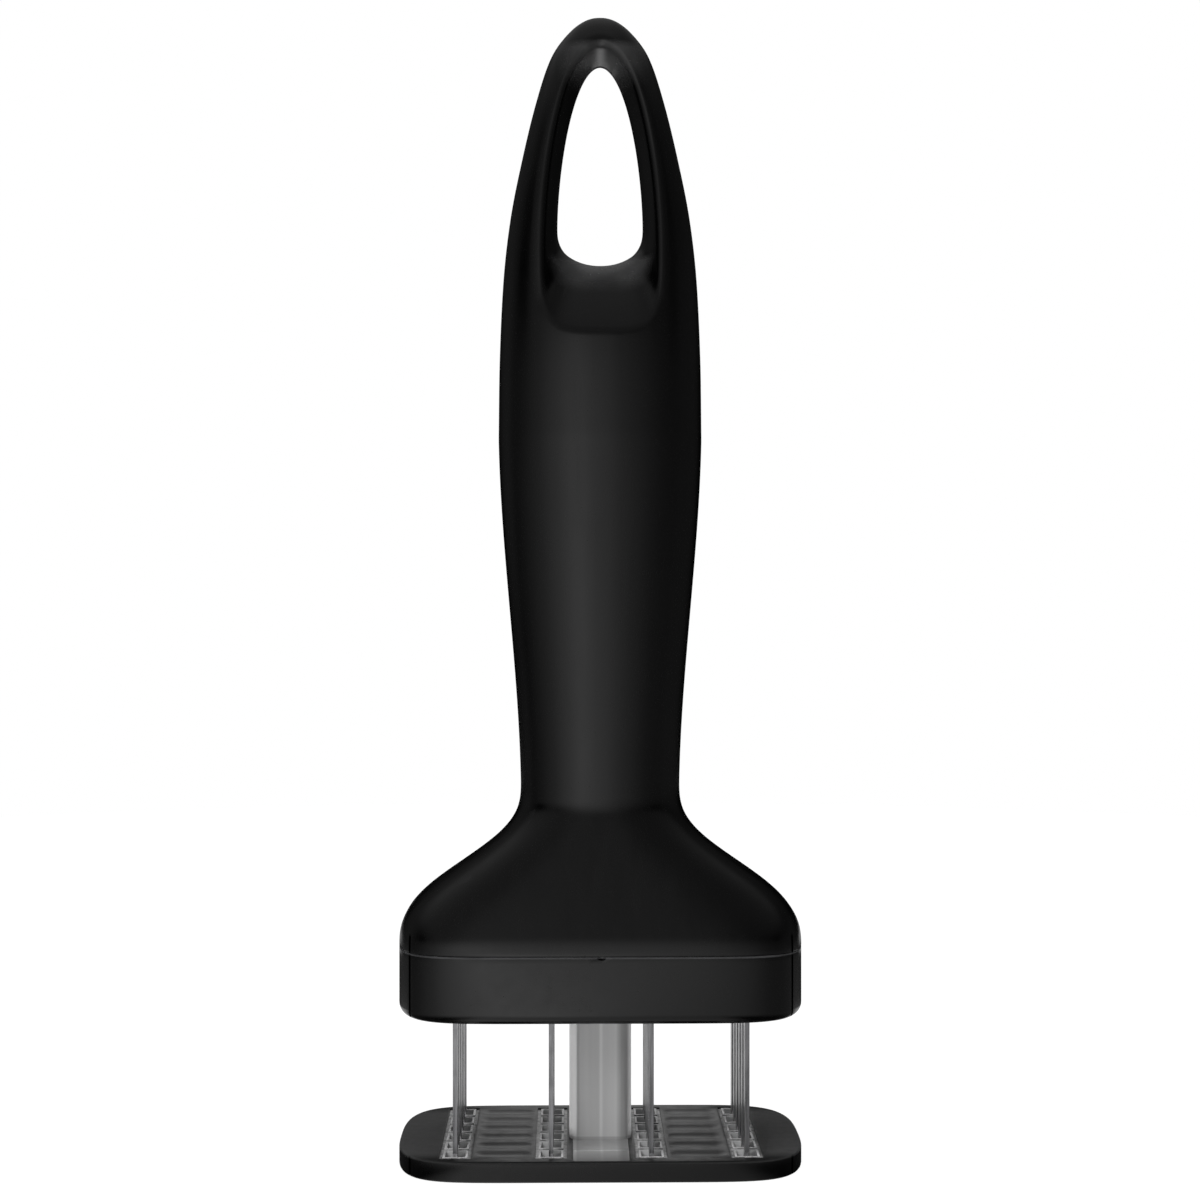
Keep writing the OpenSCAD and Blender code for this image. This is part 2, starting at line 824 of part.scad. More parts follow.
// Coil with one closed turn at each end
coil_sides = 6;
coil_steps = 12;
closed_turns = 1;
module return_spring() {
    r = (spring_d - spring_wire) / 2;
    turns = spring_turns + 2 * closed_turns;
    lead = spring_wire * closed_turns;
    z0 = spring_z + spring_wire / 2;
    z1 = spring_seat_z - spring_wire / 2;
    steps = turns * coil_steps;
    heights = [
        [0, z0], [closed_turns, z0 + lead], [turns - closed_turns, z1 - lead], [turns, z1]
    ];
    rings = [
        for (i = [0 : steps])
            let (
                turn = i / coil_steps,
                a = 360 * turn,
                z = lookup(turn, heights)
            )
            [
                for (k = [0 : coil_sides - 1])
                    let (
                        b = 360 * k / coil_sides,
                        rho = r + spring_wire / 2 * cos(b)
                    )
                    [rho * cos(a), rho * sin(a), z + spring_wire / 2 * sin(b)]
            ]
    ];
    color("silver")
        loft(rings);
}

handle_front_shell();
handle_rear_shell();
head_skirt();
blade_carrier();
clamp_plate();
carrier_screws();
skirt_screws();
plunger_post();
return_spring();
stop_washer();
stop_screw();
foot_plate();
foot_screw();
for (c = [1 : blade_columns])
    for (r = [1 : blade_rows])
        blade(blade_xs[c - 1], blade_ys[r - 1]);
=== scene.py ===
"""Dresses the blade meat tenderizer: smooth mouldings, finishes, studio and camera."""

import math

import bmesh
import bpy
from bpy.props import FloatProperty, FloatVectorProperty, IntProperty, PointerProperty
from mathutils import Matrix, Vector


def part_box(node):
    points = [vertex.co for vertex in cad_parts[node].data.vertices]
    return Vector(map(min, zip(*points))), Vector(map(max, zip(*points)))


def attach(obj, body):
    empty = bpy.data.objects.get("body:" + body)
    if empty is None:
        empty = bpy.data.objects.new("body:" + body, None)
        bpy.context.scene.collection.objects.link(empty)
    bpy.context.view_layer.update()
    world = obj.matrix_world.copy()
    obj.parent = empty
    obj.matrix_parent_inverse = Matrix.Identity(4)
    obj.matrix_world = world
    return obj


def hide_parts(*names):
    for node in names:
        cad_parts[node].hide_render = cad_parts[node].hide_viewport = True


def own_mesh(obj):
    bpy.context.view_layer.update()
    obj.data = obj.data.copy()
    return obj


bl_info = {
    "name": "Blade Meat Tenderizer",
    "version": (1, 0, 0),
    "blender": (4, 5, 0),
    "location": "View3D > Sidebar > Tenderizer",
    "description": "Builds the dressed tenderizer round its packed frame",
    "category": "Object",
}

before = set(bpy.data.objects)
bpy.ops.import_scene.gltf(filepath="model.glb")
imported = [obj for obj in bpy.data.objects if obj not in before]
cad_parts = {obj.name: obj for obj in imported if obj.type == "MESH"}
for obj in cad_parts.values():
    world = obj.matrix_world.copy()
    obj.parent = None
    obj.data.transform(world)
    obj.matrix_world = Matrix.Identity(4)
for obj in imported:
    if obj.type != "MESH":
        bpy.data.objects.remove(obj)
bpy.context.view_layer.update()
FOOT_LOW, FOOT_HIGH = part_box("foot_plate")
SKIRT_LOW, SKIRT_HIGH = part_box("head_skirt")
SHELL_LOW, SHELL_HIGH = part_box("handle_front_shell")
POST_LOW, POST_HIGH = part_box("plunger_post")
MM = 0.001


def length(name, about, value, low=0.0, high=1.0):
    """A length in metres that a user may change."""
    return FloatProperty(
        name=name, description=about, default=value, min=low, max=high,
        unit="LENGTH", precision=5,
    )


def shade(name, about, value):
    """A colour that a user may change."""
    return FloatVectorProperty(
        name=name, description=about, default=value, size=3, min=0.0, max=1.0, subtype="COLOR",
    )


def share(name, about, value):
    """A factor from 0 to 1 that a user may change."""
    return FloatProperty(
        name=name, description=about, default=value, min=0.0, max=1.0, subtype="FACTOR",
    )


def number(name, about, value):
    """A number without a unit that a user may change."""
    return FloatProperty(name=name, description=about, default=value)


class HandleSizes(bpy.types.PropertyGroup):
    """Sizes of the handle's outer form and of its hanging loop."""

    grip_w: length("Grip width", "Width of the grip at its widest", 0.0353)
    grip_d: length("Grip depth", "Depth of the grip at its widest", 0.028)
    belly_h: length("Belly height", "Height of the widest place above the neck", 0.0593)
    neck_w: length("Neck width", "Width of the neck", 0.0276)
    neck_d: length("Neck depth", "Depth of the neck", 0.0244)
    flare_h: length("Flare height", "Height of the flare above the skirt", 0.0275)
    loop_w: length("Hole width", "Width of the hole at its waist", 0.0151)
    loop_h: length("Hole height", "Height of the hole at its waist", 0.035)
    loop_drop: length("Hole drop", "Distance from the top down to the hole", 0.0085)
    loop_waist_h: length("Hole waist", "Height of the hole's widest place", 0.0067)
    mouth_w: length("Mouth width", "Width of the hole's mouth on each face", 0.02)
    mouth_rise: length("Mouth rise", "Rise of the mouth above the hole", 0.0028)
    dish_h: length("Dish height", "Length of the thumb dish below the hole", 0.0127)
    mouth_waist_h: length("Mouth waist", "Height of the mouth's widest place", 0.0139)
    web_t: length("Web", "Thickness of the web between the thumb dishes", 0.004)
    wall: length("Wall", "Wall of the two halves", 0.0027)
    ridge_r: length("Ridge rounding", "Rounding of the ridge beside the mouth", 0.0018)
    brow_r: length("Brow rounding", "Rounding of the ridge above the mouth", 0.0016)
    dish_r: length("Dish rounding", "Rounding of the edge below the thumb dish", 0.0009)
    seam_gap: length("Seam gap", "Half of the gap between the two halves", 0.00003)
    seam_edge: length("Seam edge", "Broken edge along the seam", 0.00012)
    rim_edge: length("Rim edge", "Rounding of the rim above the skirt", 0.0001)


class HeadSizes(bpy.types.PropertyGroup):
    """Sizes of the skirt, the foot plate and the post."""

    skirt_wall: length("Skirt wall", "Wall of the skirt", 0.0018)
    skirt_floor: length("Skirt floor", "Thickness of the skirt's floor", 0.002)
    skirt_edge_r: length("Skirt edge", "Rounding of the skirt's lower edge", 0.0018)
    middle_pitch: length("Middle pitch", "Distance between the middle columns", 0.0168)
    column_pitch: length("Column pitch", "From a middle column to the next", 0.016)
    row_pitch: length("Row pitch", "Distance between blade rows", 0.0055)
    slot_w: length("Slot width", "Width of a blade slot in the skirt", 0.00135)
    slot_l: length("Slot length", "Length of a blade slot in the skirt", 0.0032)
    screw_x: length("Skirt screw x", "Place of the skirt screws, across", 0.0295)
    screw_y: length("Skirt screw y", "Place of the skirt screws, along", 0.00688)
    screw_head: length("Skirt screw head", "Head of the skirt screws", 0.0054)
    window_w: length("Window width", "Width of a blade window", 0.0034)
    window_l: length("Window length", "Length of a blade window", 0.0037)
    window_rim: length("Window rim", "Width of the raised rim round a window", 0.0004)
    strip_border: length("Strip border", "Border of the sunk strip", 0.001)
    strip_deep: length("Strip depth", "Depth of the sunk strip", 0.0003)
    groove_w: length("Groove width", "Width of a groove", 0.0034)
    groove_deep: length("Groove depth", "Depth of a groove", 0.0003)
    groove_land: length("Groove land", "Land between grooves and strips", 0.0005)
    plate_edge_r: length("Plate edge", "Rounding of the foot plate's edges", 0.0005)
    post_w: length("Post width", "Width of the post", 0.0107)
    post_d: length("Post depth", "Depth of the post, front to back", 0.01)
    post_r: length("Post corner", "Corner radius of the post", 0.002)
    post_gap: length("Post gap", "Clearance of the post in the skirt", 0.0003)
    post_bore: length("Post bore", "Bore of the post", 0.0041)
    bar_w: length("Bar width", "Width of the post's base bar", 0.0094)
    bar_inset: length("Bar inset", "From the bar's ends to the plate's edges", 0.0008)
    bar_line_y: length("Bar line", "From the middle to the bar's cross lines", 0.0117)
    bar_line_w: length("Bar line width", "Width of the bar's cross lines", 0.0008)
    foot_screw_head: length("Foot screw head", "Head of the foot screw", 0.0074)
    corner_line: length("Corner line", "From the middle to the hairlines at the corners", 0.032)
    foot_travel: length("Foot travel", "How far the foot plate slides up", 0.022)
    spring_wire: length("Spring wire", "Thickness of the return spring's wire", 0.0012)
    spring_turns: IntProperty(
        name="Spring turns", description="Turns of the return spring, with both closed ends",
        default=14, min=4,
    )


class FinishLevels(bpy.types.PropertyGroup):
    """Colours and gloss of the finishes."""

    black: shade("Black plastic", "Colour of the mouldings", (0.0007, 0.0007, 0.00075))
    # Painted light: colour of the foot plate's top, whose walls keep the black
    foot: shade("Painted foot top", "Colour painted on the foot plate's top as its light", (0.062, 0.062, 0.0622))
    gloss: share("Plastic roughness", "Roughness of the mouldings", 0.24)
    # Painted light: a paler black below the hole and at its top
    hole_light_paint: shade("Painted hole light", "Colour painted as light at the hole's edges", (0.051, 0.051, 0.0515))
    # Painted reflection: colour of the strips round the blade windows, and a paler copy on their
    # rims
    strip_light_paint: shade("Painted strip light", "Colour painted on the strips as their light", (0.48, 0.48, 0.482))
    milky: shade("Milky plastic", "Colour of the plunger post", (0.8, 0.8, 0.802))
    steel: shade("Stainless steel", "Colour of the blades", (0.33, 0.33, 0.34))
    zinc: shade("Zinc plating", "Colour of the screws and the spring", (0.62, 0.63, 0.65))
    nylon: shade("Carrier plastic", "Colour of the blade carrier", (0.28, 0.29, 0.3))


class StudioLevels(bpy.types.PropertyGroup):
    """Levels of the studio light and the place of the camera."""

    floor_r: length("Floor radius", "Radius of the pale floor", 0.6, 0.1, 10.0)
    floor_colour: shade("Floor colour", "Colour of the pale floor", (0.95, 0.95, 0.95))
    key: number("Key light", "Power of the key light in watts", 5.0)
    fill: number("Fill light", "Power of the fill light in watts", 2.5)
    plate_card: number("Plate card", "Level of the card behind the plate", 0.66)
    rear_card: number("Rear cards", "Level of the cards behind the neck and the shoulder", 0.7)
    brow_card: number("Brow card", "Level of the card below the brow", 1.0)
    camera_lens: number("Lens", "Focal length in millimetres", 60.165)
    camera_h: length("Camera height", "Height of the level camera", 0.09632)
    camera_away: length("Camera distance", "Distance in front of the object", 0.35)
    camera_side: length("Camera side", "Distance left of the middle", 0.005)
    ring_steps: IntProperty(name="Ring steps", description="Points round the head", default=176)


# Curves


def mix(a, b, t):
    return a + (b - a) * t


def clamp01(t):
    return min(1.0, max(0.0, t))


def smooth(t):
    return t * t * (3 - 2 * t)


def smoother(t):
    return t * t * t * (t * (6 * t - 15) + 10)


def station(tab, u):
    """Smooth value of a table of (place, value) stations."""
    i = 0
    while i < len(tab) - 2 and u > tab[i + 1][0]:
        i += 1

    def slope(k):
        a, b = max(0, k - 1), min(len(tab) - 1, k + 1)
        return (tab[b][1] - tab[a][1]) / (tab[b][0] - tab[a][0])

    d = tab[i + 1][0] - tab[i][0]
    t = clamp01((u - tab[i][0]) / d)
    bend = d * t * (1 - t) * (slope(i) * (1 - t) - slope(i + 1) * t)
    return mix(tab[i][1], tab[i + 1][1], smooth(t)) + bend


def dome(tab, u):
    """A tip narrows as a round dome does: the square of its width is the smooth value."""
    return math.sqrt(max(0.0, station([(p, s * s) for p, s in tab], u)))


TIP_W_SHARES = [
    (0, 1), (0.19, 0.989), (0.38, 0.951), (0.522, 0.883), (0.664, 0.766),
    (0.807, 0.619), (0.902, 0.484), (0.961, 0.309), (1, 0),
]
TIP_D_SHARES = [
    (0, 1), (0.19, 0.96), (0.38, 0.865), (0.522, 0.775), (0.664, 0.68),
    (0.807, 0.575), (0.902, 0.465), (0.961, 0.305), (1, 0),
]
RAMP_START, RAMP_END, RAMP_BEND = 0.13, 0.94, 0.05
GRIP_POWERS = (2.5, 2.5)
HEAD_POWERS = (8, 3)
SIDE_BULGE, BROW_BULGE, DISH_BULGE = 1.8, 1.1, 1.5


def ramp_bend(t):
    if t < -RAMP_BEND:
        return 0.0
    return t if t > RAMP_BEND else (t + RAMP_BEND) ** 2 / (4 * RAMP_BEND)


class HandleForm:
    """Outer form of the handle: width, depth and section at each height."""

    def __init__(self, s):
        self.s = s
        self.joint_z, self.top_z = SKIRT_HIGH.z, SHELL_HIGH.z
        self.head_w, self.head_d = (SKIRT_HIGH - SKIRT_LOW).xy
        self.neck_z = self.joint_z + s.flare_h
        self.belly_z = self.neck_z + s.belly_h
        self.loop_top = self.top_z - s.loop_drop
        self.loop_z = self.loop_top - s.loop_h
        self.loop_waist = self.loop_z + s.loop_waist_h
        self.mouth_top = self.loop_top + s.mouth_rise
        self.mouth_z = self.loop_z - s.dish_h
        self.mouth_waist = self.mouth_z + s.mouth_waist_h
        self.split_z = self.mouth_z - 2 * s.web_t

    def spread(self, z):
        """How far the flare has spread in width and in depth, from 0 to 1."""
        t = clamp01((self.neck_z - z) / self.s.flare_h)
        deep = (ramp_bend(t - RAMP_START) - ramp_bend(t - RAMP_END)) / (RAMP_END - RAMP_START)
        return smoother(t**1.06), deep

    def half(self, z):
        """Half width and half depth at a height."""
        s = self.s
        if z < self.neck_z:
            wide, deep = self.spread(z)
            return mix(s.neck_w, self.head_w, wide) / 2, mix(s.neck_d, self.head_d, deep) / 2
        if z < self.belly_z:
            t = clamp01((z - self.neck_z) / s.belly_h)
            swell = mix(smooth(t), t, 0.3)
            return mix(s.neck_w, s.grip_w, swell) / 2, mix(s.neck_d, s.grip_d, swell) / 2
        u = (z - self.belly_z) / (self.top_z - self.belly_z)
        return s.grip_w / 2 * dome(TIP_W_SHARES, u), s.grip_d / 2 * dome(TIP_D_SHARES, u)

    def powers(self, z):
        deep = self.spread(z)[1]
        return tuple(mix(g, h, deep) for g, h in zip(GRIP_POWERS, HEAD_POWERS))

    def depth_at(self, x, z):
        """Distance of the front surface from the seam plane."""
        (a, b), (p, q) = self.half(z), self.powers(z)
        if a < 1e-9:
            return 0.0
        return b * max(0.0, 1 - (abs(x) / a) ** p) ** (1 / q)

    def section(self, z, inset, ends, front):
        a, b = self.half(z)
        return half_section(a - inset, b - inset, *self.powers(z), ends, front)

    def loop_point(self, phi):
        s = self.s
        up = self.loop_top - self.loop_waist
        return egg(phi, s.loop_w, self.loop_waist, up, s.loop_waist_h, 1.7, 2.55, 2)

    def mouth_point(self, phi):
        s = self.s
        up = self.mouth_top - self.mouth_waist
        return egg(phi, s.mouth_w, self.mouth_waist, up, s.mouth_waist_h, 1.9, 4, 4)

    def wall_point(self, phi, t):
        """A point on the wall of the hole: t is 0 in the seam plane and 1 at the mouth."""
        low = smooth(clamp01((-math.sin(phi) - 0.2) / 0.7))
        land = low * self.s.web_t / self.s.grip_d
        high = smooth(clamp01(math.sin(phi)))
        bulge = mix(mix(SIDE_BULGE, BROW_BULGE, high), DISH_BULGE, low)
        g = clamp01((t - land) / (1 - land)) ** bulge
        (x0, z0), (x1, z1) = self.loop_point(phi), self.mouth_point(phi)
        return Vector((mix(x0, x1, g), -self.depth_at(x1, z1) * t, mix(z0, z1, g)))

    def face_point(self, x, z):
        return Vector((x, -self.depth_at(x, z), z))

    def ridge_round(self, phi):
        """How far the rounding of the ridge reaches to each side at an angle."""
        s, v = self.s, math.sin(phi)
        if v > 0:
            return mix(s.ridge_r, s.brow_r, smooth(v))
        return mix(s.ridge_r, s.dish_r, smooth(clamp01((-v - 0.55) / 0.3)))


def egg(phi, w, z, up, down, m_up, m_down, n_down):
    """An egg-shaped outline in x and z, square below and pointed above."""
    v, c = math.sin(phi), math.cos(phi)
    m, n = (m_up, 2) if v > 0 else (m_down, n_down)
    wide = max(0.0, 1 - min(1.0, abs(v)) ** m) ** (1 / n)
    side = 0.0 if abs(c) < 1e-9 else math.copysign(w / 2, c)
    return side * wide, z + v * (up if v > 0 else down)


def half_section(a, b, p, q, ends, front):
    """Front half of a rounded section, from the seam at +x round to the seam at -x."""
    xs, ys = a * 0.5 ** (1 / p), b * 0.5 ** (1 / q)
    points = []
    for j in range(ends):
        y = ys * math.sin(math.pi / 2 * j / ends)
        points.append((a * (1 - (y / b) ** q) ** (1 / p), -y))
    for k in range(front + 1):
        x = xs * math.cos(math.pi * k / front)
        points.append((x, -b * (1 - (abs(x) / a) ** p) ** (1 / q)))
    for j in range(ends - 1, -1, -1):
        y = ys * math.sin(math.pi / 2 * j / ends)
        points.append((-a * (1 - (y / b) ** q) ** (1 / p), -y))
    return points


def head_ring(w, d, z, steps):
    """The whole section of the head as a ring of points."""
    front = half_section(w / 2, d / 2, *HEAD_POWERS, steps // 8, steps // 4)
    back = [(x, -y) for x, y in front[-2:0:-1]]
    return [Vector((x, y, z)) for x, y in front + back]


def quarter(steps):
    """Steps along a quarter round, as shares of its radius off its two ends."""
    turns = [math.pi / 2 * i / steps for i in range(steps + 1)]
    return [(1 - math.sin(a), 1 - math.cos(a)) for a in turns]


def square_ring(w, d, r, z, steps):
    """A rounded rectangle as a ring of points, steps of them round each corner."""
    points = []
    for k, (sx, sy) in enumerate(((1, 1), (-1, 1), (-1, -1), (1, -1))):
        for i in range(steps + 1):
            a = math.pi / 2 * (k + i / steps)
            points.append(Vector((
                sx * (w / 2 - r) + r * math.cos(a), sy * (d / 2 - r) + r * math.sin(a), z,
            )))
    return points


# Mesh making


def start_ring(bm, points):
    """A ring of vertices through points."""
    made = bmesh.ops.create_circle(bm, cap_ends=False, segments=len(points), radius=1.0)
    for v, p in zip(made["verts"], points):
        v.co = p
    return made["verts"]


def edges_of(row, closed=True):
    pairs = list(zip(row, row[1:])) + ([(row[-1], row[0])] if closed else [])
    return [next(e for e in a.link_edges if e.other_vert(a) is b) for a, b in pairs]


def grow(bm, row, points, closed=True):
    """Extrudes a row of vertices to new points and returns the new row."""
    made = bmesh.ops.extrude_edge_only(bm, edges=edges_of(row, closed))["geom"]
    fresh = {g for g in made if isinstance(g, bmesh.types.BMVert)}
    new = []
    for v, p in zip(row, points):
        twin = next(e.other_vert(v) for e in v.link_edges if e.other_vert(v) in fresh)
        twin.co = p
        new.append(twin)
    return new


def loft(bm, rings):
    """A closed solid through rings of points."""
    row = start_ring(bm, rings[0])
    bm.faces.new(row)
    for points in rings[1:]:
        row = grow(bm, row, points)
    bm.faces.new(row)
    bmesh.ops.recalc_face_normals(bm, faces=bm.faces)


def add_box(bm, low, high):
    """A box between two corners, added to a mesh."""
    size, middle = Vector(high) - Vector(low), (Vector(high) + Vector(low)) / 2
    place = Matrix.Translation(middle) @ Matrix.Diagonal((*size, 1))
    bmesh.ops.create_cube(bm, size=1.0, matrix=place)


def add_cone(bm, x, y, z0, z1, r0, r1, steps=48):
    """An upright cone or cylinder, added to a mesh."""
    bmesh.ops.create_cone(
        bm, cap_ends=True, segments=steps, radius1=r0, radius2=r1, depth=z1 - z0,
        matrix=Matrix.Translation((x, y, (z0 + z1) / 2)),
    )


def to_object(bm, name):
    """Makes an object of a mesh that is ready."""
    mesh = bpy.data.meshes.new(name)
    bm.to_mesh(mesh)
    bm.free()
    obj = bpy.data.objects.new(name, mesh)
    bpy.context.scene.collection.objects.link(obj)
    return obj


def solid(name, rings):
    """An object with a closed mesh through rings of points."""
    bm = bmesh.new()
    loft(bm, rings)
    return to_object(bm, name)


def round_bar(name, z0, z1, r0, r1, steps=48):
    """An upright cone or cylinder on the middle line, as an object."""
    bm = bmesh.new()
    add_cone(bm, 0, 0, z0, z1, r0, r1, steps)
    return to_object(bm, name)


def blocks(name, corners):
    """Boxes between pairs of corners, as one object."""
    bm = bmesh.new()
    for low, high in corners:
        add_box(bm, low, high)
    return to_object(bm, name)


def bake(obj):
    """Applies every modifier of an object to its mesh."""
    graph = bpy.context.evaluated_depsgraph_get()
    mesh = bpy.data.meshes.new_from_object(obj.evaluated_get(graph))
    obj.modifiers.clear()
    old, obj.data = obj.data, mesh
    mesh.name = obj.name
    bpy.data.meshes.remove(old)


def cut(obj, cutter, operation="DIFFERENCE", tidy=True):
    """Cuts an object with another, which is used up."""
    tool = obj.modifiers.new("cut", "BOOLEAN")
    tool.operation, tool.solver, tool.object = operation, "EXACT", cutter
    bake(obj)
    if tidy:
        tidy_mesh(obj)
    spare = cutter.data
    bpy.data.objects.remove(cutter)
    bpy.data.meshes.remove(spare)
    return obj


def tidy_mesh(obj):
    """Closes the hairline gaps and drops the empty faces that a cut can leave."""
    bm = bmesh.new()
    bm.from_mesh(obj.data)
    bmesh.ops.remove_doubles(bm, verts=bm.verts, dist=2e-7)
    bmesh.ops.dissolve_degenerate(bm, edges=bm.edges, dist=1e-7)
    ragged = [e for e in bm.edges if e.is_boundary]
    if ragged:
        bmesh.ops.holes_fill(bm, edges=ragged, sides=0)
    bmesh.ops.recalc_face_normals(bm, faces=bm.faces)
    bm.to_mesh(obj.data)
    bm.free()


def break_edges(obj, width, angle=35):
    """Rounds every sharp edge a little."""
    tool = obj.modifiers.new("edges", "BEVEL")
    tool.width, tool.segments, tool.limit_method = width, 2, "ANGLE"
    tool.angle_limit = math.radians(angle)
    bake(obj)


def finish_piece(obj, finish, body, node, angle=32):
    """Shades a piece, gives it its material and ties it to the frame in place of a node."""
    obj.data.shade_smooth()
    obj.data.set_sharp_from_angle(angle=math.radians(angle))
    obj.data.materials.clear()
    obj.data.materials.append(finish.material)
    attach(obj, body)
    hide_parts(node)


# Shader sums


def feed(slot, value):
    """Gives an input of a node a number, a colour or what another node works out."""
    if isinstance(value, Number):
        value.tree.links.new(value.socket, slot)
    elif slot.type == "RGBA":
        slot.default_value = (*value, 1.0)
    else:
        slot.default_value = value


def new_node(tree, kind, inputs=(), **settings):
    """A new node with its settings, and its inputs fed by name or by number."""
    made = tree.nodes.new("ShaderNode" + kind)
    for key, value in settings.items():
        setattr(made, key, value)
    for key, value in dict(inputs).items():
        feed(made.inputs[key], value)
    return made


def calc(operation, *values):
    """A sum on values, one of them at least worked out by a node."""
    tree = next(v.tree for v in values if isinstance(v, Number))
    return Number(new_node(tree, "Math", enumerate(values), operation=operation).outputs[0])


def between(factor, a, b):
    """The number between two numbers at a factor."""
    return Number(new_node(factor.tree, "Mix", {0: factor, 2: a, 3: b}).outputs[0])


class Number:
    """What a node works out, and the sums that are done on it."""

    def __init__(self, socket):
        self.socket, self.tree = socket, socket.id_data

    def __add__(self, other):
        return calc("ADD", self, other)

    def __sub__(self, other):
        return calc("SUBTRACT", self, other)

    def __rsub__(self, other):
        return calc("SUBTRACT", other, self)

    def __mul__(self, other):
        return calc("MULTIPLY", self, other)

    def __abs__(self):
        return calc("ABSOLUTE", self)

    def axes(self):
        """The x, y and z of a place or a direction."""
        return [Number(out) for out in new_node(self.tree, "SeparateXYZ", {0: self}).outputs]

    def ramp(self, low, high, at_low, at_high):
        """Goes from at_low to at_high as the number goes from low to high, and no further."""
        return Number(new_node(self.tree, "MapRange", {
            "Value": self, "From Min": low, "From Max": high,
            "To Min": at_low, "To Max": at_high,
        }).outputs["Result"])

    def curve(self, reach, unit, stops):
        """A colour from a table of (place, colour), with places from -reach to reach units."""
        share_of = self.ramp(-reach * unit, reach * unit, 0.0, 1.0)
        made = new_node(self.tree, "ValToRGB", {0: share_of})
        elements = made.color_ramp.elements
        while len(elements) < len(stops):
            elements.new(0.5)
        for element, (place, colour) in zip(elements, stops):
            element.position = (place + reach) / (2 * reach)
            element.color = (*colour, 1.0)
        return Number(made.outputs["Color"])


# Finishes

GRAIN = 0.05
FINE, COARSE = 0.02 * MM, 0.03 * MM
# Painted light and shade across the post's colour, and a painted glow for the light it lets
# through, by the place from its left side to its right
POST_PAINTED_LIGHT = [
    (-1.0, 1.3), (-0.8, 1.25), (-0.74, 0.72), (-0.66, 0.9), (-0.06, 0.92), (0.02, 1.2),
    (0.1, 0.97), (0.42, 1.0), (0.5, 1.06), (0.56, 0.85), (0.68, 0.58), (0.84, 0.6), (0.9, 0.9),
    (1.0, 1.1),
]
POST_PAINTED_GLOW = [
    (-1.0, 0.34), (-0.92, 0.24), (-0.8, 0.2), (-0.72, 0.0), (-0.06, 0.0), (0.02, 0.02),
    (0.1, 0.0), (0.86, 0.0), (1.0, 0.25),
]


def shades(colour, factor, more=0.0):
    """A colour made darker or paler."""
    return tuple(min(1.0, c * factor + more) for c in colour)


class Finish:
    """A material in the making, on the object's own coordinates."""

    def __init__(self, name):
        old = bpy.data.materials.get(name)
        if old:
            bpy.data.materials.remove(old)
        self.material = bpy.data.materials.new(name)
        self.material.use_nodes = True
        self.tree = self.material.node_tree
        self.shader = self.tree.nodes["Principled BSDF"]
        self.place = Number(new_node(self.tree, "TexCoord").outputs["Object"])
        self.x, self.y, self.z = self.place.axes()
        self.given = {}

    def noise(self, scale, stretch=(1, 1, 1), detail=3.0):
        """Noise on the object's coordinates, drawn out along an axis by stretch."""
        drawn = new_node(self.tree, "Mapping", {"Vector": self.place, "Scale": stretch})
        values = {"Vector": Number(drawn.outputs["Vector"]), "Scale": scale, "Detail": detail}
        return Number(new_node(self.tree, "TexNoise", values).outputs["Fac"])

    def give(self, name, value):
        """Feeds an input of the shader, and remembers with what."""
        self.given[name] = value
        feed(self.shader.inputs[name], value)

    def tint(self, factor, colour):
        """Blends the base colour given so far with another."""
        values = {0: factor, 6: self.given["Base Color"], 7: colour}
        self.give("Base Color", Number(
            new_node(self.tree, "Mix", values, data_type="RGBA").outputs[2]
        ))

    def bump(self, height, strength, distance):
        """Makes the surface uneven by a height, on top of what does so already."""
        values = {"Strength": strength, "Distance": distance, "Height": height}
        if "Normal" in self.given:
            values["Normal"] = self.given["Normal"]
        self.give("Normal", Number(new_node(self.tree, "Bump", values).outputs["Normal"]))


def black_plastic(name, colour, gloss, flow=(1, 1, 0.06)):
    """Semi-gloss black moulding: faint flow lines, fine skin and paler worn edges."""
    finish = Finish(name)
    streaks = finish.noise(420, flow, detail=4.0)
    clouds = finish.noise(60, detail=2.0)
    skin = finish.noise(3600, detail=2.0)
    dust = finish.noise(1500, detail=1.0)
    sharp = Number(new_node(finish.tree, "NewGeometry").outputs["Pointiness"])
    worn = sharp.ramp(0.53, 0.62, 0.0, 1.0) * clouds.ramp(0.4, 0.7, 0.2, 1.0)
    finish.give("Base Color", shades(colour, 0.72))
    finish.tint(streaks.ramp(0.3, 0.7, 0.0, 1.0), colour)
    finish.tint(worn, shades(colour, 2.6, 0.004))
    rough = streaks.ramp(0.3, 0.7, gloss - 0.03, gloss + 0.04)
    rough += clouds.ramp(0.35, 0.7, -0.02, 0.04)
    rough += dust.ramp(0.72, 0.8, 0.0, 0.1)
    finish.give("Roughness", rough + worn * 0.08)
    finish.bump(skin, GRAIN, FINE)
    finish.bump(streaks, GRAIN / 2, COARSE)
    finish.give("IOR", 1.47)
    return finish


def painted_highlight_line(finish, z0, z1):
    """Paints a highlight into the base colour above a height, as a pale line along an edge."""
    painted_light_patches = finish.noise(160).ramp(0.35, 0.6, 0.65, 1.0)
    finish.tint(finish.z.ramp(z0, z1, 0.0, 1.0) * painted_light_patches, (0.05, 0.05, 0.052))


def corner_lines(finish, at, top):
    """A dark hairline down each corner up to a height, where the mould's halves met."""
    line = abs(abs(finish.x) - at).ramp(0.14 * MM, 0.22 * MM, 1.0, 0.0)
    line *= abs(finish.y).ramp(12.2 * MM, 12.5 * MM, 0.0, 1.0)
    line *= finish.z.ramp(top - 0.6 * MM, top, 1.0, 0.0)
    finish.tint(line, (0.0, 0.0, 0.0))
    finish.give("Specular IOR Level", line.ramp(0.0, 1.0, 0.5, 0.0))


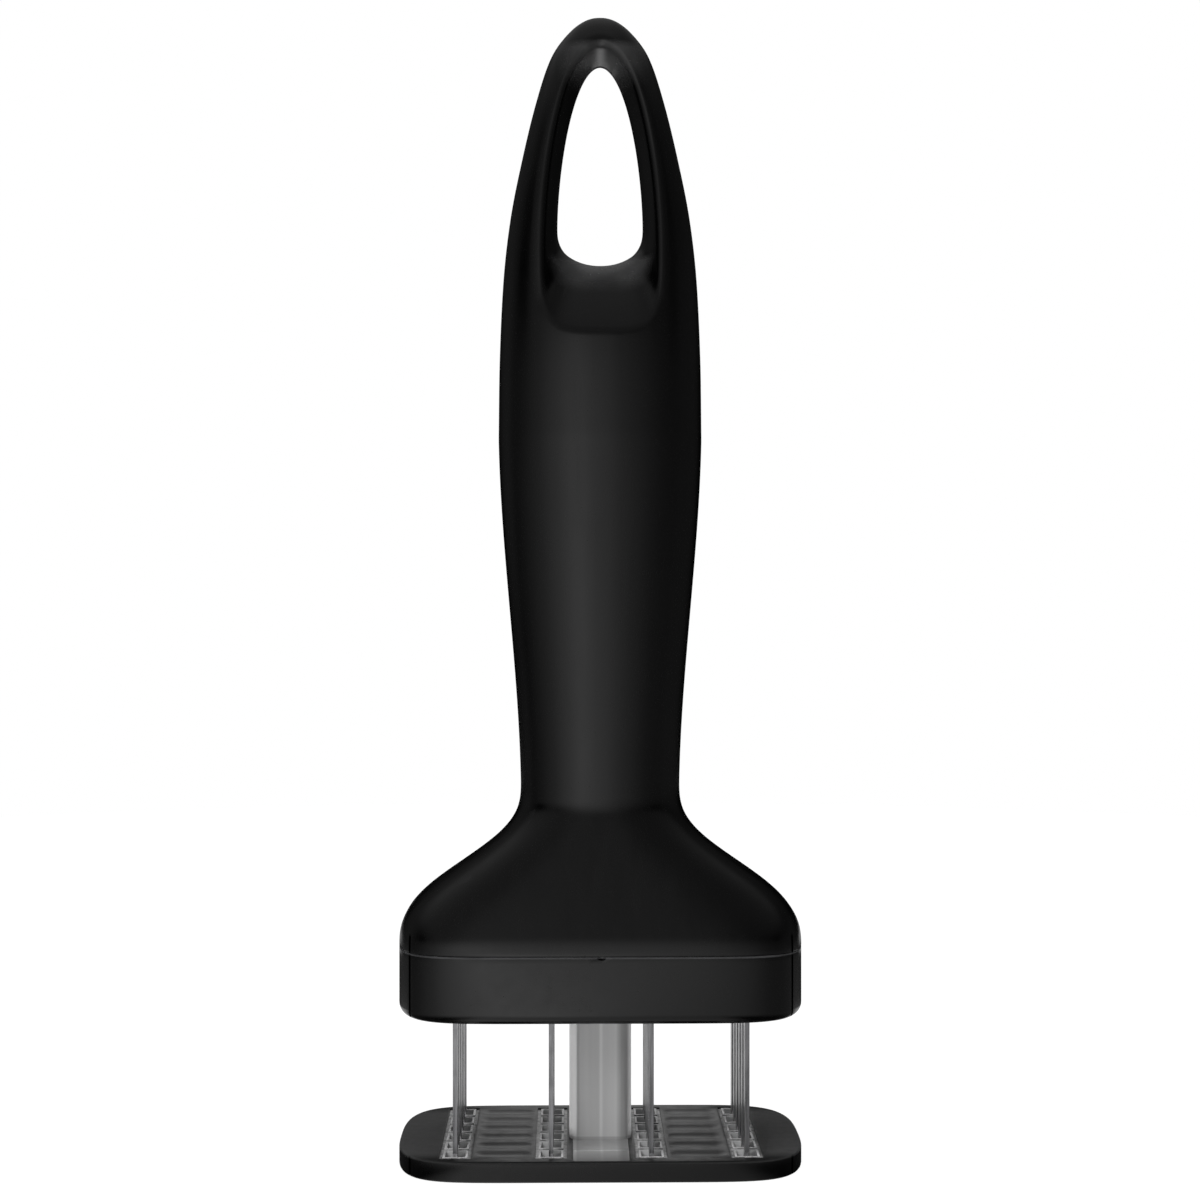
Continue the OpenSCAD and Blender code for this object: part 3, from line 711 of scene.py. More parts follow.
def painted_hole_light(finish, form, colour):
    """Paints light into the black below the lower edge of the hole and at its top, where these
    surfaces catch light.
    """
    side, z = form.s.loop_w / 2, finish.z
    painted_light_patches = finish.noise(260, (1, 1, 0.4)).ramp(0.3, 0.6, 0.75, 1.0)
    painted_light_patches *= abs(finish.y).ramp(6 * MM, 8.5 * MM, 1.0, 0.0)
    for edge, below, above, rise, fall, middle, half, strength in (
        (form.loop_z, 7, 1.5, 6.5, 1, side * 0.12, side * 1.5, 1.0),
        (form.loop_top, 5, 3.5, 4, 1.5, 0.5 * MM, 8 * MM, 0.75),
    ):
        low, high = edge - below * MM, edge + above * MM
        hole_light_mask = z.ramp(low, low + rise * MM, 0.0, 1.0) * z.ramp(high - fall * MM, high, 1.0, 0.0)
        hole_light_mask *= abs(finish.x - middle).ramp(half * 0.4, half, strength, 0.0)
        finish.tint(hole_light_mask * painted_light_patches, colour)


def paint_plate_light(finish, s, top, colour):
    """Paints light into the top of the foot plate, painted shade towards its front and rear edges,
    and painted highlights on the sunk strips round the blade windows and on the windows' rims.
    """
    y, top_z = finish.y, FOOT_HIGH.z
    upper, raised, walls = (
        finish.z.ramp(top_z - low * MM, top_z - high * MM, 0.0, 1.0)
        for low, high in ((0.4, 0.1), (0.7, 0.4), (3, 2))
    )

    def within(value, reach):
        return value.ramp(reach - 0.1 * MM, reach, 1.0, 0.0)

    # Painted light: the plate's top is paler than its walls
    finish.tint(upper, top)
    # Painted shade towards the front and rear edges of the top
    finish.tint(abs(y).ramp(13 * MM, 16.5 * MM, 0.0, 0.9) * upper, (0.003, 0.003, 0.003))
    scratched = finish.noise(500).ramp(0.3, 0.7, 0.36, 0.46)
    finish.give("Roughness", between(upper, finish.given["Roughness"], scratched))
    off_column, half = abs(finish.x), s.column_pitch / 2
    for step in (s.middle_pitch / 2 + half, half):
        off_column = abs(off_column - step)
    off_row = calc("PINGPONG", y + s.row_pitch / 2, s.row_pitch / 2)
    inside = within(abs(y), 2.5 * s.row_pitch + s.window_l / 2 + s.strip_border)
    strip = inside * within(off_column, s.window_w / 2 + s.strip_border) * raised
    # Painted reflection: paler strips round the blade windows
    finish.tint(strip * finish.noise(900).ramp(0.4, 0.62, 0.4, 1.0), colour)
    rim = within(off_column, s.window_w / 2 + s.window_rim)
    rim *= within(off_row, s.window_l / 2 + s.window_rim)
    # Painted highlights on the rims round the windows
    finish.tint(rim * inside * walls, shades(colour, 1.5))


def milky_plastic(name, colour, half, joint):
    """Translucent unpigmented plastic with drawn streaks and lines along its length, painted light
    and shade across it, a painted glow at its sides and painted shade at its foot.
    """
    finish = Finish(name)
    x, y, z = finish.x, finish.y, finish.z
    streaks = finish.noise(520, (1, 1, 0.02), detail=2.0)
    clouds = finish.noise(120, detail=2.0)
    # Painted light and shade across the post: bright sides, a bright middle line and a darker band
    # towards the right
    painted_tones = [(at, tuple(min(0.97, c * tone) for c in colour)) for at, tone in POST_PAINTED_LIGHT]
    finish.give("Base Color", x.curve(1, half, painted_tones))
    finish.tint(streaks.ramp(0.35, 0.65, 0.1, 0.0), (0.2, 0.2, 0.2))
    finish.tint(clouds.ramp(0.4, 0.7, 0.0, 0.08), (0.95, 0.95, 0.95))
    # Painted shade: a dark line round the post just above the plate's top, where it meets the
    # plate
    seam = abs(z - (joint + 0.2 * MM))
    finish.tint(seam.ramp(0.2 * MM, 0.4 * MM, 0.45, 0.0), (0.3, 0.3, 0.3))
    # Painted shade: the base bar darkens towards its front end
    finish.tint(y.ramp(-18.5 * MM, -10.5 * MM, 0.7, 0.0), (0.03, 0.03, 0.03))
    finish.give("Roughness", clouds.ramp(0.3, 0.7, 0.4, 0.5))
    finish.bump(streaks, 0.12, 0.05 * MM)
    finish.give("IOR", 1.49)
    finish.give("Transmission Weight", 0.08)
    # Painted glow: the post's left and right sides glow above the plate, standing in for light let
    # through
    glow = x.curve(1, half, [(at, (level,) * 3) for at, level in POST_PAINTED_GLOW])
    finish.give("Emission Color", (1.0, 1.0, 1.0))
    finish.give("Emission Strength", glow * z.ramp(joint, joint + 2 * MM, 0.0, 1.0))
    return finish


def steel(name, colour, rough, streak, scale=2600):
    """Metal with drawn or brushed lines, small stains and a fine tooth."""
    finish = Finish(name)
    lines = finish.noise(scale, streak, detail=4.0)
    stains = finish.noise(340, detail=4.0)
    tooth = finish.noise(7000, detail=2.0)
    dim = shades(colour, 0.5)
    finish.give("Base Color", dim)
    finish.tint(lines.ramp(0.35, 0.65, 0.0, 1.0), colour)
    finish.tint(stains.ramp(0.55, 0.8, 0.0, 0.5), dim)
    worn = lines.ramp(0.3, 0.7, rough - 0.08, rough + 0.1) + stains.ramp(0.5, 0.8, 0.0, 0.12)
    finish.give("Roughness", worn)
    finish.bump(tooth, 0.3, FINE)
    finish.bump(lines, 0.4, COARSE)
    finish.give("Metallic", 1.0)
    return finish


def carrier_nylon(name, colour):
    """Matt grey engineering plastic with a cloudy moulded skin."""
    finish = Finish(name)
    clouds = finish.noise(180, detail=4.0)
    skin = finish.noise(4200, detail=2.0)
    finish.give("Base Color", shades(colour, 0.8))
    finish.tint(clouds.ramp(0.3, 0.7, 0.0, 1.0), colour)
    finish.give("Roughness", clouds.ramp(0.3, 0.7, 0.42, 0.55))
    finish.bump(skin, 0.3, COARSE)
    return finish


# Pieces

ENDS, FRONT = 12, 40
SIDE, ARCH = 18, 44
CORNER = math.radians(33)
WALL_ROWS, RIDGE_ROWS, FACE_ROWS, GRIP_ROWS, FLARE_ROWS, ROOM_RINGS = 18, 8, 18, 70, 64, 26
# Sizes that follow no slider: how high the corner lines run above the skirt, the rounding of the
# skirt's top and of the post's ends, the overshoot of cutters, the room round a fitted part, the
# post's bore, the foot screw's shank, the corners of the base bar and the mould's mark in front
LINE_RISE, LIP, OVER, ROOM = 0.0032, 0.0003, 0.001, 0.00005
BORE_DEEP, SHANK_R, BAR_CORNER = 0.0129, 0.00205, 0.0006
MARK_OUT, MARK_DOWN, MARK_SIZE = 0.0004, 0.0002, (0.0009, 0.0008, 0.0005, 1)


def loop_angles():
    """Angles round the hole, from the right end of the thumb dish round below, and up."""
    low = 2 * ENDS + FRONT
    down = -math.pi / 2
    angles = [down + CORNER * (1 - 2 * k / low) for k in range(low)]
    left = down - CORNER
    angles += [mix(left, -math.pi, k / SIDE) for k in range(SIDE)]
    angles += [-math.pi - math.pi * k / (2 * ARCH) for k in range(2 * ARCH)]
    angles += [mix(0.0, down + CORNER, k / SIDE) for k in range(SIDE)]
    return angles


def face_edge(form, k, phi):
    """Where the line of faces from the mouth at angle phi ends: the split or the seam."""
    low = 2 * ENDS + FRONT
    if k <= low:
        x, _ = form.section(form.split_z, 0.0, ENDS, FRONT)[k]
        return x, form.split_z
    if k < low + SIDE or k > low + SIDE + 2 * ARCH:
        step = k - low if k < low + SIDE else low + 2 * SIDE + 2 * ARCH - k
        z = mix(form.split_z, form.mouth_waist, step / SIDE)
    else:
        z = mix(form.mouth_waist, form.top_z, max(0.0, math.sin(phi)))
    return math.copysign(form.half(z)[0], math.cos(phi)), z


def set_back(points, amount):
    """Points of a closed outline in x and z, moved inwards by amount."""
    count = len(points)
    area = sum(
        points[i].x * points[(i + 1) % count].z - points[(i + 1) % count].x * points[i].z
        for i in range(count)
    )
    turn = math.copysign(amount, area)
    moved = []
    for i, p in enumerate(points):
        t = points[(i + 1) % count] - points[i - 1]
        n = Vector((-t.z, 0.0, t.x))
        moved.append(p + n.normalized() * turn if n.length > 1e-12 else p.copy())
    return moved


def handle_half(form):
    """Front half of the handle as a closed solid, built outwards from the hole."""
    s = form.s
    bm = bmesh.new()
    seam_y = -(s.seam_gap + s.seam_edge)
    angles = loop_angles()

    def at_seam(p):
        return Vector((p.x, min(p.y, seam_y), p.z))

    waist = row = start_ring(bm, [at_seam(form.wall_point(a, 0.0)) for a in angles])
    mouth = [form.mouth_point(a) for a in angles]
    edge = [face_edge(form, k, a) for k, a in enumerate(angles)]
    reach = [form.ridge_round(a) for a in angles]
    tips = [form.wall_point(a, 1.0) for a in angles]
    stops = []
    for a, tip, r in zip(angles, tips, reach):
        run = (tip - form.wall_point(a, 0.95)).length / 0.05
        stops.append(1.0 - min(0.5, r / run))
    for i in range(1, WALL_ROWS + 1):
        row = grow(bm, row, [
            at_seam(form.wall_point(a, stop * i / WALL_ROWS)) for a, stop in zip(angles, stops)
        ])
    starts = []
    for (mx, mz), (ex, ez), r in zip(mouth, edge, reach):
        starts.append(min(0.45, r / max(1e-6, math.hypot(ex - mx, ez - mz))))
    for i in range(1, RIDGE_ROWS + 1):
        u = i / RIDGE_ROWS
        points = []
        for a, tip, stop, start, m, e in zip(angles, tips, stops, starts, mouth, edge):
            near = form.wall_point(a, stop)
            far = form.face_point(mix(m[0], e[0], start), mix(m[1], e[1], start))
            points.append(near.lerp(tip, u).lerp(tip.lerp(far, u), u))
        row = grow(bm, row, [at_seam(p) for p in points])
    for j in range(1, FACE_ROWS + 1):
        t = math.sin(math.pi / 2 * j / FACE_ROWS)
        row = grow(bm, row, [
            at_seam(form.face_point(mix(m[0], e[0], f), mix(m[1], e[1], f)))
            for m, e, f in ((m, e, mix(start, 1.0, t)) for m, e, start in zip(mouth, edge, starts))
        ])
    low = 2 * ENDS + FRONT
    outline = row[low:] + [row[0]]
    chain = row[: low + 1]
    right, left = [], []
    levels = [mix(form.split_z, form.neck_z, (i + 1) / GRIP_ROWS) for i in range(GRIP_ROWS)]
    rim_z = form.joint_z + s.rim_edge
    levels += [mix(form.neck_z, rim_z, (i + 1) / FLARE_ROWS) for i in range(FLARE_ROWS)]
    places = [(z, 0.0) for z in levels]
    for i in range(1, 4):
        a = math.pi / 2 * i / 3
        places.append((rim_z - s.rim_edge * math.sin(a), s.rim_edge * (1 - math.cos(a))))
    for z, inset in places:
        ring = form.section(z, inset, ENDS, FRONT)
        chain = grow(bm, chain, [at_seam(Vector((x, y, z))) for x, y in ring], closed=False)
        right.append(chain[0])
        left.append(chain[-1])
    bm.faces.new(chain)
    outline = outline + right + left[::-1]
    rims = []
    for loop_row, amount in ((outline, s.seam_edge), (waist, -s.seam_edge)):
        moved = set_back([v.co for v in loop_row], amount)
        inner = grow(bm, loop_row, [Vector((p.x, -s.seam_gap, p.z)) for p in moved])
        rims += edges_of(inner)
    bmesh.ops.triangle_fill(bm, use_beauty=True, use_dissolve=False, edges=rims)
    bmesh.ops.recalc_face_normals(bm, faces=bm.faces)
    return bm


def merged_copy(node):
    """A closed copy of a CAD node's mesh, for use as a cutter."""
    bm = bmesh.new()
    bm.from_mesh(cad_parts[node].data)
    bmesh.ops.remove_doubles(bm, verts=bm.verts, dist=1e-7)
    return to_object(bm, node + "_copy")


def handle_room(form, node):
    """The room inside one half: a smooth core less the ribs and bosses of the CAD node."""
    wall = form.s.wall
    top = form.mouth_z - 2 * wall
    rings = []
    for i in range(ROOM_RINGS + 1):
        z = mix(form.joint_z - wall, top, (i / ROOM_RINGS) ** 1.4)
        front = form.section(max(z, form.joint_z), wall, 4, 12)
        rings.append([Vector((x, y, z)) for x, y in front + [(x, -y) for x, y in front[-2:0:-1]]])
    # Left as it was cut: when tidied first, the room cuts the half differently from run to run
    return cut(solid(node + "_room", rings), merged_copy(node), tidy=False)


class TENDERIZER_OT_handle(bpy.types.Operator):
    """Build the two halves of the handle."""

    bl_idname = "tenderizer.handle"
    bl_label = "Handle halves"

    def execute(self, context):
        form = HandleForm(context.scene.tenderizer_handle)
        look = context.scene.tenderizer_finish
        finish = black_plastic("handle_black", look.black, look.gloss)
        # Painted light below the hole and at its top
        painted_hole_light(finish, form, look.hole_light_paint)
        head = context.scene.tenderizer_head
        corner_lines(finish, head.corner_line, SKIRT_HIGH.z + LINE_RISE)
        front = to_object(handle_half(form), "handle_front")
        bm = handle_half(form)
        bmesh.ops.scale(bm, vec=(1, -1, 1), verts=bm.verts)
        bmesh.ops.recalc_face_normals(bm, faces=bm.faces)
        rear = to_object(bm, "handle_rear")
        for half, node in ((front, "handle_front_shell"), (rear, "handle_rear_shell")):
            cut(half, handle_room(form, node))
            finish_piece(half, finish, "handle", node)
        return {"FINISHED"}


def blade_places(sizes):
    """Places of the 24 blades in plan."""
    return [(x, (r - 2.5) * sizes.row_pitch) for x in column_places(sizes) for r in range(6)]


def column_places(sizes):
    """Places of the four blade columns across the head."""
    inner = sizes.middle_pitch / 2
    outer = inner + sizes.column_pitch
    return [-outer, -inner, inner, outer]


class TENDERIZER_OT_skirt(bpy.types.Operator):
    """Build the band under the flare, with its slotted floor."""

    bl_idname = "tenderizer.skirt"
    bl_label = "Head skirt"

    def execute(self, context):
        s = context.scene.tenderizer_head
        steps = context.scene.tenderizer_studio.ring_steps
        look = context.scene.tenderizer_finish
        low, high = SKIRT_LOW, SKIRT_HIGH
        w, d = (high - low).xy
        floor_z = low.z + s.skirt_floor
        r = s.skirt_edge_r
        plan = [(r * u, low.z + r * v) for u, v in quarter(8)]
        plan.append((0.0, high.z - 4 * LIP))
        plan += [(LIP * v, high.z - LIP * u) for u, v in quarter(3)]
        plan += [(s.skirt_wall, high.z), (s.skirt_wall, floor_z)]
        skirt = solid("skirt", [head_ring(w - 2 * i, d - 2 * i, z, steps) for i, z in plan])
        bm = bmesh.new()
        for x, y in blade_places(s):
            half = Vector((s.slot_w, s.slot_l, 0)) / 2
            add_box(bm, Vector((x, y, low.z - r)) - half, Vector((x, y, floor_z + r)) + half)
        gap = s.post_gap
        loft(bm, [
            square_ring(s.post_w + 2 * gap, s.post_d + 2 * gap, s.post_r + gap, z, 8)
            for z in (low.z - r, floor_z + r)
        ])
        for x in (-s.screw_x, s.screw_x):
            for y in (-s.screw_y, s.screw_y):
                head, shank = s.screw_head / 2, s.screw_head / 2 * 0.56
                add_cone(bm, x, y, low.z + gap, low.z + gap + head - shank, head, shank, 32)
                add_cone(bm, x, y, low.z - r, low.z + gap + 0.00001, head, head, 32)
                add_cone(bm, x, y, low.z + head - shank, floor_z + r, shank, shank, 32)
        cut(skirt, to_object(bm, "skirt_holes"))
        bm = bmesh.new()
        place = Matrix.Translation((0, low.y - MARK_OUT, high.z - MARK_DOWN))
        size = Matrix.Diagonal(MARK_SIZE)
        bmesh.ops.create_uvsphere(
            bm, u_segments=24, v_segments=16, radius=1.0, matrix=place @ size
        )
        cut(skirt, to_object(bm, "skirt_mark"))
        break_edges(skirt, 0.00012)
        finish = black_plastic("skirt_black", look.black, look.gloss - 0.02, (1, 1, 1))
        # Painted highlight: a pale line along the skirt's top edge, where light catches its
        # rounding
        painted_highlight_line(finish, high.z - 1.4 * LIP, high.z - LIP)
        corner_lines(finish, s.corner_line, high.z)
        finish_piece(skirt, finish, "handle", "head_skirt")
        return {"FINISHED"}


class TENDERIZER_OT_foot(bpy.types.Operator):
    """Build the foot plate with its windows, rims and grooves."""

    bl_idname = "tenderizer.foot"
    bl_label = "Foot plate"

    def execute(self, context):
        s = context.scene.tenderizer_head
        steps = context.scene.tenderizer_studio.ring_steps
        look = context.scene.tenderizer_finish
        low, high = FOOT_LOW, FOOT_HIGH
        w, d = (high - low).xy
        r = s.plate_edge_r
        plan = [(r * u, low.z + r * v) for u, v in quarter(4)]
        plan += [(r * v, high.z - r * u) for u, v in quarter(4)]
        plate = solid("foot", [head_ring(w - 2 * i, d - 2 * i, z, steps) for i, z in plan])
        window = Vector((s.window_w, s.window_l, 0)) / 2
        rim = window + Vector((s.window_rim, s.window_rim, 0))
        border = s.strip_border
        strip = Vector((window.x + border, 2.5 * s.row_pitch + window.y + border, 0))
        floor_z = high.z - s.strip_deep
        strips = blocks("strips", [
            (Vector((x, 0, floor_z)) - strip, Vector((x, 0, high.z + OVER)) + strip)
            for x in column_places(s)
        ])
        cut(strips, blocks("rims", [
            (Vector((x, y, floor_z - OVER)) - rim, Vector((x, y, high.z + 2 * OVER)) + rim)
            for x, y in blade_places(s)
        ]))
        cut(plate, strips)
        bm = bmesh.new()
        for x, y in blade_places(s):
            below, above = Vector((x, y, low.z - OVER)), Vector((x, y, high.z + OVER))
            add_box(bm, below - window, above + window)
        half_l = s.column_pitch / 2 - window.x - border - s.groove_land
        field_x = (s.middle_pitch + s.column_pitch) / 2
        for side in (-1, 1):
            for row in range(6):
                middle = Vector((side * field_x, (row - 2.5) * s.row_pitch, high.z))
                add_groove(bm, middle, half_l, s.groove_w, s.groove_deep)
        head = s.foot_screw_head / 2 + ROOM
        seat_z = low.z + s.post_gap
        add_cone(bm, 0, 0, low.z - OVER, seat_z, head, head)
        cut(plate, to_object(bm, "holes"))
        cut(plate, base_bar("bar_room", s, d, POST_LOW.z, high.z + OVER, ROOM))
        cut(plate, solid("post_room", [
            square_ring(s.post_w + OVER / 10, s.post_d + OVER / 10, s.post_r, z, 8)
            for z in (POST_LOW.z, high.z + OVER)
        ]))
        cut(plate, round_bar("seat", seat_z - 0.00001, seat_z + head - SHANK_R, head, SHANK_R))
        cut(plate, round_bar("bore", seat_z, high.z + OVER, SHANK_R, SHANK_R))
        break_edges(plate, 0.0001)
        finish = black_plastic("foot_black", look.black, look.gloss + 0.04, (1, 1, 1))
        # Painted light on the plate's top and strips, and painted shade at its front and rear
        # edges
        paint_plate_light(finish, s, look.foot, look.strip_light_paint)
        corner_lines(finish, s.corner_line, high.z)
        finish_piece(plate, finish, "foot", "foot_plate")
        return {"FINISHED"}


def base_bar(name, s, plate_d, z0, z1, gap):
    """The post's base bar, or the room for it when a gap is left round it."""
    w, d = s.bar_w + 2 * gap, plate_d - 2 * s.bar_inset + 2 * gap
    return solid(name, [square_ring(w, d, BAR_CORNER, z, 6) for z in (z0, z1)])


def add_groove(bm, middle, half_l, w, deep):
    """A round-bottomed groove with round ends, as a cutter in the surface at middle."""
    r = (w * w / 4 + deep * deep) / (2 * deep)
    steps = 8
    rings = []
    for i in range(1, steps + 1):
        h = deep * (i / steps) ** 2
        half = math.sqrt(r * r - (r - h) ** 2)
        ring = square_ring(
            2 * half_l - w + 2 * half, 2 * half, half * 0.98, middle.z - deep + h, steps
        )
        rings.append([p + Vector((middle.x, middle.y, 0)) for p in ring])
    rings.append([p + Vector((0, 0, 2 * deep)) for p in rings[-1]])
    loft(bm, rings)


class TENDERIZER_OT_post(bpy.types.Operator):
    """Build the translucent plunger post."""

    bl_idname = "tenderizer.post"
    bl_label = "Plunger post"

    def execute(self, context):
        s = context.scene.tenderizer_head
        low, high = POST_LOW, POST_HIGH
        w, d = s.post_w, s.post_d
        steps = 8
        count = 4 * (steps + 1)
        bore = s.post_bore / 2

        def circle(z):
            return [
                Vector((bore * math.cos(a), bore * math.sin(a), z))
                for a in (math.pi / 2 * (k // (steps + 1) + (k % (steps + 1) + 0.5) / (steps + 1))
                          for k in range(count))
            ]

        def square(inset, z):
            return square_ring(w - 2 * inset, d - 2 * inset, s.post_r - inset, z, steps)

        post = solid("post", [
            circle(low.z + BORE_DEEP), circle(low.z), square(LIP, low.z), square(0, low.z + LIP),
            square(0, high.z - LIP), square(LIP, high.z), circle(high.z),
            circle(high.z - BORE_DEEP),
        ])
        top = FOOT_HIGH.z
        bar = base_bar("bar", s, (FOOT_HIGH - FOOT_LOW).y, low.z, top, 0.0)
        half = Vector((s.bar_w, s.bar_line_w / 2, 0))
        cut(bar, blocks("bar_lines", [
            (Vector((0, y, (low.z + top) / 2)) - half, Vector((0, y, top + LIP)) + half)
            for y in (-s.bar_line_y, s.bar_line_y)
        ]))
        wide = bore * 1.3
        cut(bar, round_bar("bar_bore", low.z - LIP, top + LIP, wide, wide, count))
        cut(post, bar, "UNION")
        milky = context.scene.tenderizer_finish.milky
        finish = milky_plastic("post_milky", milky, w / 2, top)
        finish_piece(post, finish, "foot", "plunger_post")
        return {"FINISHED"}


def dress_nodes(names, finish, edge):
    """Gives CAD nodes a material and, with modifiers alone, softer edges."""
    for name in names:
        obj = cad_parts[name]
        obj.data.materials.clear()
        obj.data.materials.append(finish.material)
        weld = obj.modifiers.new("weld", "WELD")
        weld.merge_threshold = 1e-6
        soft = obj.modifiers.new("soft edges", "BEVEL")
        soft.width, soft.segments = edge, 2
        soft.limit_method, soft.angle_limit = "ANGLE", math.radians(30)


class TENDERIZER_OT_blades(bpy.types.Operator):
    """Finish the 24 blades."""

    bl_idname = "tenderizer.blades"
    bl_label = "Blades"

    def execute(self, context):
        look = context.scene.tenderizer_finish
        finish = steel("blade_stainless", look.steel, 0.3, (1, 1, 0.05))
        names = [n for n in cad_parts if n.startswith("blade_c") and n[7].isdigit()]
        if len(names) != 24:
            raise RuntimeError("the frame should hold 24 blades")
        dress_nodes(names, finish, 0.00008)
        return {"FINISHED"}


def coil_rings(low, high, wire, turns, steps=24, sides=10):
    """Rings of a coil that stands in a box, with one closed turn at each end."""
    r = (high.x - low.x - wire) / 2
    z0, z1 = low.z + wire / 2, high.z - wire / 2
    rings = []
    for i in range(turns * steps + 1):
        turn, a = i / steps, math.tau * i / steps
        if turn < 1:
            z = z0 + wire * turn
        elif turn > turns - 1:
            z = z1 - wire * (turns - turn)
        else:
            z = mix(z0 + wire, z1 - wire, (turn - 1) / (turns - 2))
        ring = []
        for k in range(sides):
            b = math.tau * k / sides
            rho = r + wire / 2 * math.cos(b)
            ring.append((rho * math.cos(a), rho * math.sin(a), z + wire / 2 * math.sin(b)))
        rings.append(ring)
    return rings


class TENDERIZER_OT_inner_works(bpy.types.Operator):
    """Finish the carrier, the clamp plate and the washer, and build the spring."""

    bl_idname = "tenderizer.inner_works"
    bl_label = "Inner works"

    def execute(self, context):
        look = context.scene.tenderizer_finish
        dress_nodes(["blade_carrier"], carrier_nylon("carrier_nylon", look.nylon), 0.0001)
        plate = steel("plate_steel", look.steel, 0.34, (0.05, 1, 1))
        dress_nodes(["clamp_plate", "stop_washer"], plate, 0.0001)
        wire = steel("spring_wire", look.zinc, 0.28, (1, 1, 1), 1200)
        self.spring(context.scene.tenderizer_head, wire)
        return {"FINISHED"}

    def spring(self, s, finish):
        """The return spring as a coil in the box of its CAD node; the real spring shortens as the
        foot plate slides up.
        """
        low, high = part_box("return_spring")
        coil = solid("return_coil", coil_rings(low, high, s.spring_wire, s.spring_turns))
        finish_piece(coil, finish, "handle", "return_spring", 60)
        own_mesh(coil)


class TENDERIZER_OT_screws(bpy.types.Operator):
    """Finish the screws."""

    bl_idname = "tenderizer.screws"
    bl_label = "Screws"

    def execute(self, context):
        look = context.scene.tenderizer_finish
        finish = steel("screw_zinc", look.zinc, 0.3, (1, 1, 0.3), 1500)
        names = ["carrier_screws", "skirt_screws", "stop_screw", "foot_screw"]
        dress_nodes(names, finish, 0.00008)
        return {"FINISHED"}


# Studio

# Level of the surroundings by azimuth in degrees, from the front to the right, at eye level
ROUND_LEVELS = [
    (-180, 0.0), (-158, 0.0), (-146, 0.02), (-130, 0.05), (-116, 0.088), (-98, 0.065),
    (-88, 0.088), (-72, 0.15), (-56, 0.265), (-47, 0.31), (-38, 0.45), (-28, 0.6), (-20, 0.72),
    (-14, 0.92), (-9, 1.03), (-4, 0.86), (1, 0.58), (7, 0.38), (14, 0.3), (24, 0.245),
    (33, 0.175), (46, 0.11), (58, 0.095), (74, 0.085), (88, 0.085), (102, 0.068), (114, 0.055),
    (130, 0.03), (144, 0.008), (154, 0.0), (180, 0.0),
]
# Share of that level by elevation in degrees, and how much there is of it in all
HEIGHT_SHARES = [
    (-90, 0.6), (-25, 0.9), (-10, 1.0), (6, 0.95), (14, 0.72), (24, 0.3), (36, 0.04), (60, 0.0),
]
GAIN = 1.2
# How much of the light a dark flag on each side takes away, by azimuth and by elevation
FLAG_ROUND = [
    (-180, 0.0), (-98, 0.0), (-92, 1.0), (-70, 1.0), (-62, 0.0), (56, 0.0), (62, 0.5), (78, 0.5),
    (84, 0.0),
]
FLAG_HEIGHTS = [(-90, 0.0), (11, 0.0), (16, 1.0), (27, 1.0), (31, 0.0)]
# Levels of the panel behind, of the overhead light and of the raised lights at both sides, by
# elevation
BEHIND_LEVELS = [
    (-90, 0.0), (20, 0.0), (30, 0.02), (42, 0.05), (55, 0.14), (70, 0.25), (84, 0.25), (90, 0.2),
]
OVERHEAD_LEVELS = [
    (-90, 0.0), (5, 0.0), (26, 0.04), (36, 0.16), (46, 0.2), (57, 0.2), (66, 0.22), (76, 0.28),
    (90, 0.26),
]
SIDE_LEVELS = [(-90, 0.0), (28, 0.0), (36, 0.06), (62, 0.06), (75, 0.0)]
# What the camera sees of the floor and of the space behind it, and the share of both in the light
# that the floor sends back to the camera and to reflections
FLOOR_WHITE, CAMERA_SHARE, GLOSSY_SHARE = 1.15, 0.8, 0.98
LAMP_AIM = Vector((0, 0, 0.08))


def level_by(angle, reach, levels):
    """A level by an angle, from a table of (degrees, level)."""
    return angle.curve(reach, math.radians(1), [(at, (level,) * 3) for at, level in levels])


def studio_level(x, y, z):
    """How bright the studio is in a direction, seen from the object."""
    azimuth = calc("ARCTAN2", x, y * -1.0)
    elevation = calc("ARCTAN2", z, calc("SQRT", x * x + y * y))
    around = level_by(azimuth, 180, ROUND_LEVELS) * level_by(elevation, 90, HEIGHT_SHARES) * GAIN
    flag = level_by(azimuth, 180, FLAG_ROUND) * level_by(elevation, 90, FLAG_HEIGHTS)
    above = level_by(elevation, 90, OVERHEAD_LEVELS)
    above *= y.ramp(-0.4, 0.4, 1.0, 1.3) * x.ramp(0.1, 0.6, 1.0, 0.4)
    sides = level_by(elevation, 90, SIDE_LEVELS) * abs(x).ramp(0.35, 0.65, 0.0, 1.0)
    behind = level_by(elevation, 90, BEHIND_LEVELS)
    behind *= y.ramp(0.06, 0.18, 0.0, 1.0) * abs(x).ramp(0.4, 0.7, 1.0, 0.0)
    return calc("MAXIMUM", (around + above + sides) * (1.0 - flag), behind)


def rays(tree):
    """Whether a ray is the camera's or came through the post, and whether it is a reflection."""
    paths = new_node(tree, "LightPath").outputs
    camera, through, glossy = (
        Number(paths[f"Is {kind} Ray"]) for kind in ("Camera", "Transmission", "Glossy")
    )
    return calc("MAXIMUM", camera, through), glossy


